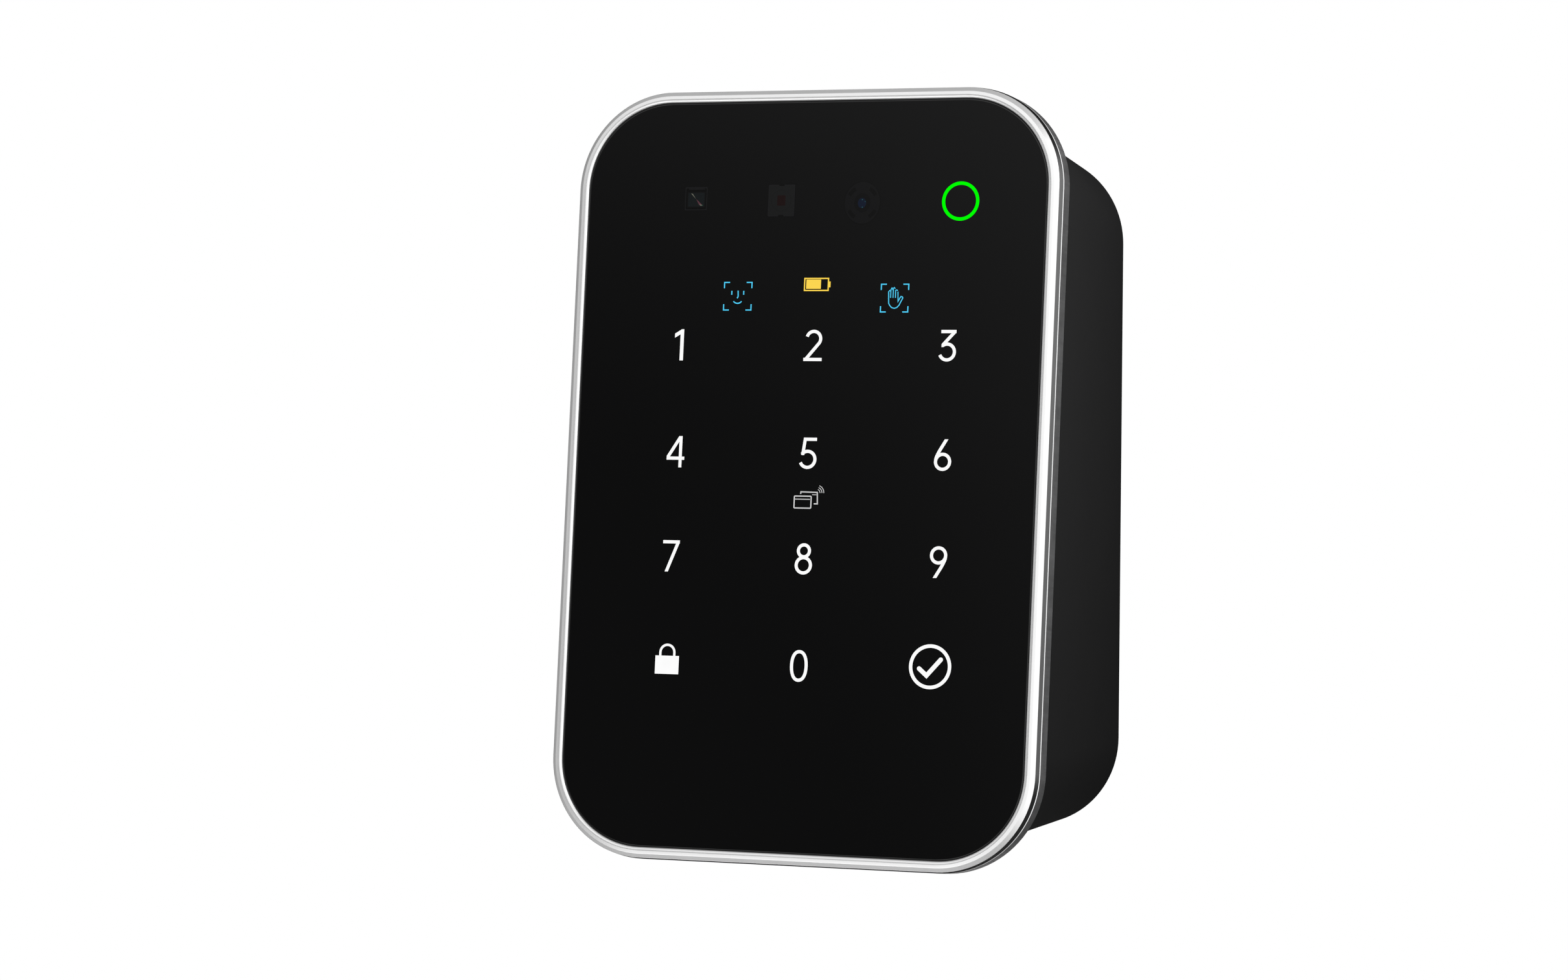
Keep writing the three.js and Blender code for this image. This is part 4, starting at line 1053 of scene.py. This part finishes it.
def screw(node):
    """Cap screw with an eased head and a hex socket; it lies along its node's longer side."""
    low, high = node_box(node)
    centre = (low + high) / 2
    upright = high.z - low.z > high.y - low.y
    length = high.z - low.z if upright else high.y - low.y
    head = (high.x - low.x) / 2
    shank = 1.25
    profile = [(0, 0), (head - 0.35, 0), (head - 0.1, 0.1), (head, 0.35), (head, 1.2)]
    profile += [(head - 0.1, 1.3), (shank, 1.3), (shank, length - 0.7), (0.8, length), (0, length)]
    hexagon = [(0, -1), (1.1, -1), (1.1, 0.8), (0, 0.8)]
    if upright:
        start, axis, sign = (centre.x, centre.y, low.z), "Z", 1
    else:
        start, axis, sign = (centre.x, high.y, centre.z), "Y", -1
    body = turned(f"{node}_cap", [(r, sign * h) for r, h in profile], start, axis)
    socket = turned("cutter", [(r, sign * h) for r, h in hexagon], start, axis, 6)
    combine(body, [socket], "DIFFERENCE")
    stand_for(smooth(body), node)


def fitting(name, node, profile, axis, from_high, looped=False):
    """A turned part set out from one end of its node's box, as (radius, distance) points."""
    low, high = node_box(node)
    centre = (low + high) / 2
    sign = -1 if from_high else 1
    end = high if from_high else low
    start = (centre.x, centre.y, end.z) if axis == "Z" else (centre.x, end.y, centre.z)
    made = turned(name, [(r, sign * h) for r, h in profile], start, axis, 48, looped)
    return stand_for(smooth(made), node)


SCREWS = (
    "case_screw_top_left",
    "case_screw_top_right",
    "case_screw_bottom_left",
    "case_screw_bottom_right",
    "locking_screw",
    "drawer_screw",
)


def build_fittings():
    for node in SCREWS:
        screw(node)
    fitting("cable_grommet_rubber", "cable_grommet", [
        (4.3, 0.0), (7.1, 0.0), (7.5, 0.3), (7.6, 0.7), (7.4, 1.2), (5.7, 1.2), (5.7, 4.0),
        (7.0, 4.0), (7.2, 4.2), (7.2, 5.2), (7.0, 5.4), (3.6, 5.4), (3.4, 5.2), (3.4, 1.0),
        (3.6, 0.45),
    ], "Y", True, True)
    fitting("tamper_plunger_pin", "tamper_plunger", [
        (0, 0), (0.9, 0.03), (1.35, 0.2), (1.5, 0.5), (1.5, 0.85), (1.85, 0.9), (2.0, 1.05),
        (2.0, 15.95), (0, 15.95),
    ], "Y", True)
    fitting("reset_button_cap", "reset_button", [
        (0, 0.12), (0.9, 0.08), (1.2, 0.0), (1.4, 0.1), (1.5, 0.35), (1.5, 2.0), (2.4, 2.0),
        (2.4, 2.7), (1.5, 2.7), (1.5, 3.87), (0, 3.87),
    ], "Z", False)
    for side in ("left", "right"):
        fitting(f"wall_stud_{side}_rivet", f"wall_stud_{side}", [
            (0, 0), (2.5, 0.0), (2.6, 0.1), (2.6, 1.8), (1.7, 1.85), (1.7, 7.9), (3.4, 7.9),
            (3.6, 8.1), (3.6, 9.0), (3.2, 9.4), (0, 9.4),
        ], "Y", True)
    refined("drawer_moulding", "battery_drawer", 0.2)
    refined("port_cover_moulding", "port_cover", 0.25)
    refined("usb_port_shell", "usb_port", 0.08)
    for number in range(1, 5):
        build_battery(number)


def build_battery(number):
    """A dry cell: its sleeve stands for the node, and its two bare ends ride along."""
    low, high = node_box(f"battery_{number}")
    up = number % 2 == 1
    radius = (high.x - low.x) / 2
    fitting(f"battery_{number}_sleeve", f"battery_{number}", [
        (0, 0.4), (6.2, 0.4), (6.35, 0.05), (6.6, 0.0), (radius - 0.1, 0.15), (radius, 0.5),
        (radius, 48.6), (radius - 0.1, 49.0), (6.6, 49.2), (6.3, 49.1), (6.2, 48.9), (0, 48.9),
    ], "Z", not up)
    pip = [(0, 48.85), (5.9, 48.85), (5.9, 49.05), (3.0, 49.1), (2.75, 49.3), (2.7, 50.2)]
    pip += [(2.5, 50.4), (0, 50.4)]
    base = [(0, 0.5), (5.9, 0.5), (5.9, 0.2), (5.4, 0.1), (0, 0.1)]
    sign, start = (1, low.z) if up else (-1, high.z)
    centre = ((low.x + high.x) / 2, (low.y + high.y) / 2, start)
    for part, profile in (("pip", pip), ("base", base)):
        cap = turned(f"battery_{number}_{part}", [(r, sign * h) for r, h in profile], centre)
        dress(smooth(cap), "tin_plate", "battery_drawer")


def slab_cutter(size, x, z):
    """A rounded cutter through a plate that lies in the XZ plane."""
    shape = outline(size, 0, 10, x, z)
    return loft("cutter", [[(px, y, pz) for px, pz in shape] for y in (INSIDE, 5)])


def build_wall_plate():
    """Pressed sheet with its cable window, screw slots, tamper slot and locking tab."""
    low, high = node_box("wall_plate")
    sheet = plate(
        "wall_plate_sheet",
        (high.x - low.x, high.z - low.z, 9.0),
        high.y - 2.0,
        high.y,
        (low.z + high.z) / 2,
        edge=0.25,
        steps=16,
    )
    cuts = [slab_cutter((19, 25, 4), 0, 27)]
    plunger = middle("tamper_plunger")
    cuts.append(slab_cutter((6, 12, 2.99), plunger.x, plunger.z + 3))
    for side in (-1, 1):
        for z in (46, -38):
            cuts.append(slab_cutter((6.2, 4.2, 2.09), side * 14, z))
        stud = middle("wall_stud_left" if side < 0 else "wall_stud_right")
        cuts.append(bore(stud.x, stud.z, 2.85, INSIDE, 5))
    combine(sheet, cuts, "DIFFERENCE")
    tab = box_cutter((-7, low.y, low.z), (7, -0.5, low.z + 1.6))
    tab.name = "tab"
    bevelled(tab, 0.3)
    screw_at = middle("locking_screw")
    combine(tab, [shaft(screw_at.x, screw_at.y, 1.75, -60, -30)], "DIFFERENCE")
    combine(sheet, [tab], "UNION")
    stand_for(smooth(sheet), "wall_plate")


# ------------------------------------------------------------------ stage, lights and camera

def build_camera():
    """The viewpoint, given as a turn round the face, a height and a slight roll."""
    back = Vector(way(22.0, 1.32))
    roll = math.radians(-0.43)
    distance = 751.0
    aim = FACE_CENTRE + Vector((-2.7, -1.1, -2.5))
    data = bpy.data.cameras.new("camera")
    data.lens = 104.1
    data.sensor_width = 36
    data.clip_start = 0.01
    data.clip_end = 20
    camera = new_object("camera", data)
    turn = (-back).to_track_quat("-Z", "Y").to_matrix().to_4x4() @ Matrix.Rotation(-roll, 4, "Z")
    camera.matrix_world = Matrix.Translation((aim + back * distance) * MM) @ turn
    bpy.context.scene.camera = camera


def way(azimuth, elevation):
    """Unit direction seen from the object; azimuth 0 is straight in front, 90 is its right."""
    azimuth, elevation = math.radians(azimuth), math.radians(elevation)
    return (
        math.sin(azimuth) * math.cos(elevation),
        -math.cos(azimuth) * math.cos(elevation),
        math.sin(elevation),
    )


# The studio round the object: each card has its azimuth and elevation, the angles where it starts
# to fade and is gone, and its brightness.
STUDIO_LEVEL = 0.42
STUDIO_CARDS = (
    (65, 8, 35, 80, 1.15),
    (128, -10, 24, 46, 0.26),
    (206, 4, 46, 62, 0.014),
    (150, -40, 24, 50, 0.02),
    (25, 62, 14, 36, 0.5),
    (25, -50, 14, 36, 0.4),
    (-20, 12, 20, 50, 1.22),
    (-28, 3, 6.6, 33, 0.085),
    (-22, -28, 9, 21, 1.7),
)


def build_stage():
    """Pale floor, low enough to clear the open drawer, and a soft studio all round."""
    drop, radius = 250, 235
    floor_level = cad_box[0][2] / MM - drop
    rim = [(*spot, floor_level) for spot in circle(0, 0, radius, 144)]
    floor = mesh_object("studio_floor", rim, [tuple(range(len(rim)))])
    look = Look("floor_paper", (0.9, 0.9, 0.9), 0.9)
    look.to("Base Color", look.mix(look.noise(3), (0.89, 0.89, 0.89), (0.92, 0.92, 0.92)))
    floor.data.materials.append(look.material)

    world = bpy.data.worlds.new("studio")
    bpy.context.scene.world = world
    world.use_nodes = True
    nodes, link = world.node_tree.nodes, world.node_tree.links.new
    here = nodes.new("ShaderNodeTexCoord").outputs["Generated"]
    level = None  # each card is laid over the ones before it
    for azimuth, elevation, inner, outer, brightness in STUDIO_CARDS:
        toward = nodes.new("ShaderNodeVectorMath")
        toward.operation = "DOT_PRODUCT"
        toward.inputs[1].default_value = way(azimuth, elevation)
        link(here, toward.inputs[0])
        angle = nodes.new("ShaderNodeMath")
        angle.operation = "ARCCOSINE"
        link(toward.outputs["Value"], angle.inputs[0])
        share = nodes.new("ShaderNodeMapRange")
        share.interpolation_type = "SMOOTHSTEP"
        share.inputs["From Min"].default_value = math.radians(outer)
        share.inputs["From Max"].default_value = math.radians(inner)
        link(angle.outputs[0], share.inputs["Value"])
        blend = nodes.new("ShaderNodeMix")
        blend.inputs[2].default_value = STUDIO_LEVEL
        blend.inputs[3].default_value = brightness
        link(share.outputs["Result"], blend.inputs[0])
        if level is not None:
            link(level, blend.inputs[2])
        level = blend.outputs[0]
    rays = nodes.new("ShaderNodeLightPath")
    shown = nodes.new("ShaderNodeMix")
    link(rays.outputs["Is Camera Ray"], shown.inputs[0])
    link(level, shown.inputs[2])
    shown.inputs[3].default_value = 1.0
    link(shown.outputs[0], nodes["Background"].inputs["Strength"])
    nodes["Background"].inputs["Color"].default_value = (1, 1, 1, 1)
    bpy.context.scene.view_settings.view_transform = "Standard"


def build_key_light():
    """One weak square lamp at the upper right; the studio gives the rest."""
    data = bpy.data.lights.new("key_light", "AREA")
    data.shape = "RECTANGLE"
    data.size, data.size_y = 0.1, 0.1
    data.energy = 0.04
    light = new_object("key_light", data)
    place = Vector((0.2, -0.22, 0.16))
    turn = (FACE_CENTRE * MM - place).to_track_quat("-Z", "Y")
    light.matrix_world = Matrix.Translation(place) @ turn.to_matrix().to_4x4()
    light.visible_camera = False


# ------------------------------------------------------------------ assembly

build_camera()
build_stage()
build_key_light()
build_glass()
build_trim()
build_band()
build_housing()
build_digits()
build_lock_and_tick()
build_icons()
build_card_icon()
build_sensors()
build_fittings()
build_wall_plate()

for node, thing in frame["nodes"].items():
    if not thing.hide_render:
        thing.data.materials.clear()
        thing.data.materials.append(LOOKS[SLOT_OF[node]])
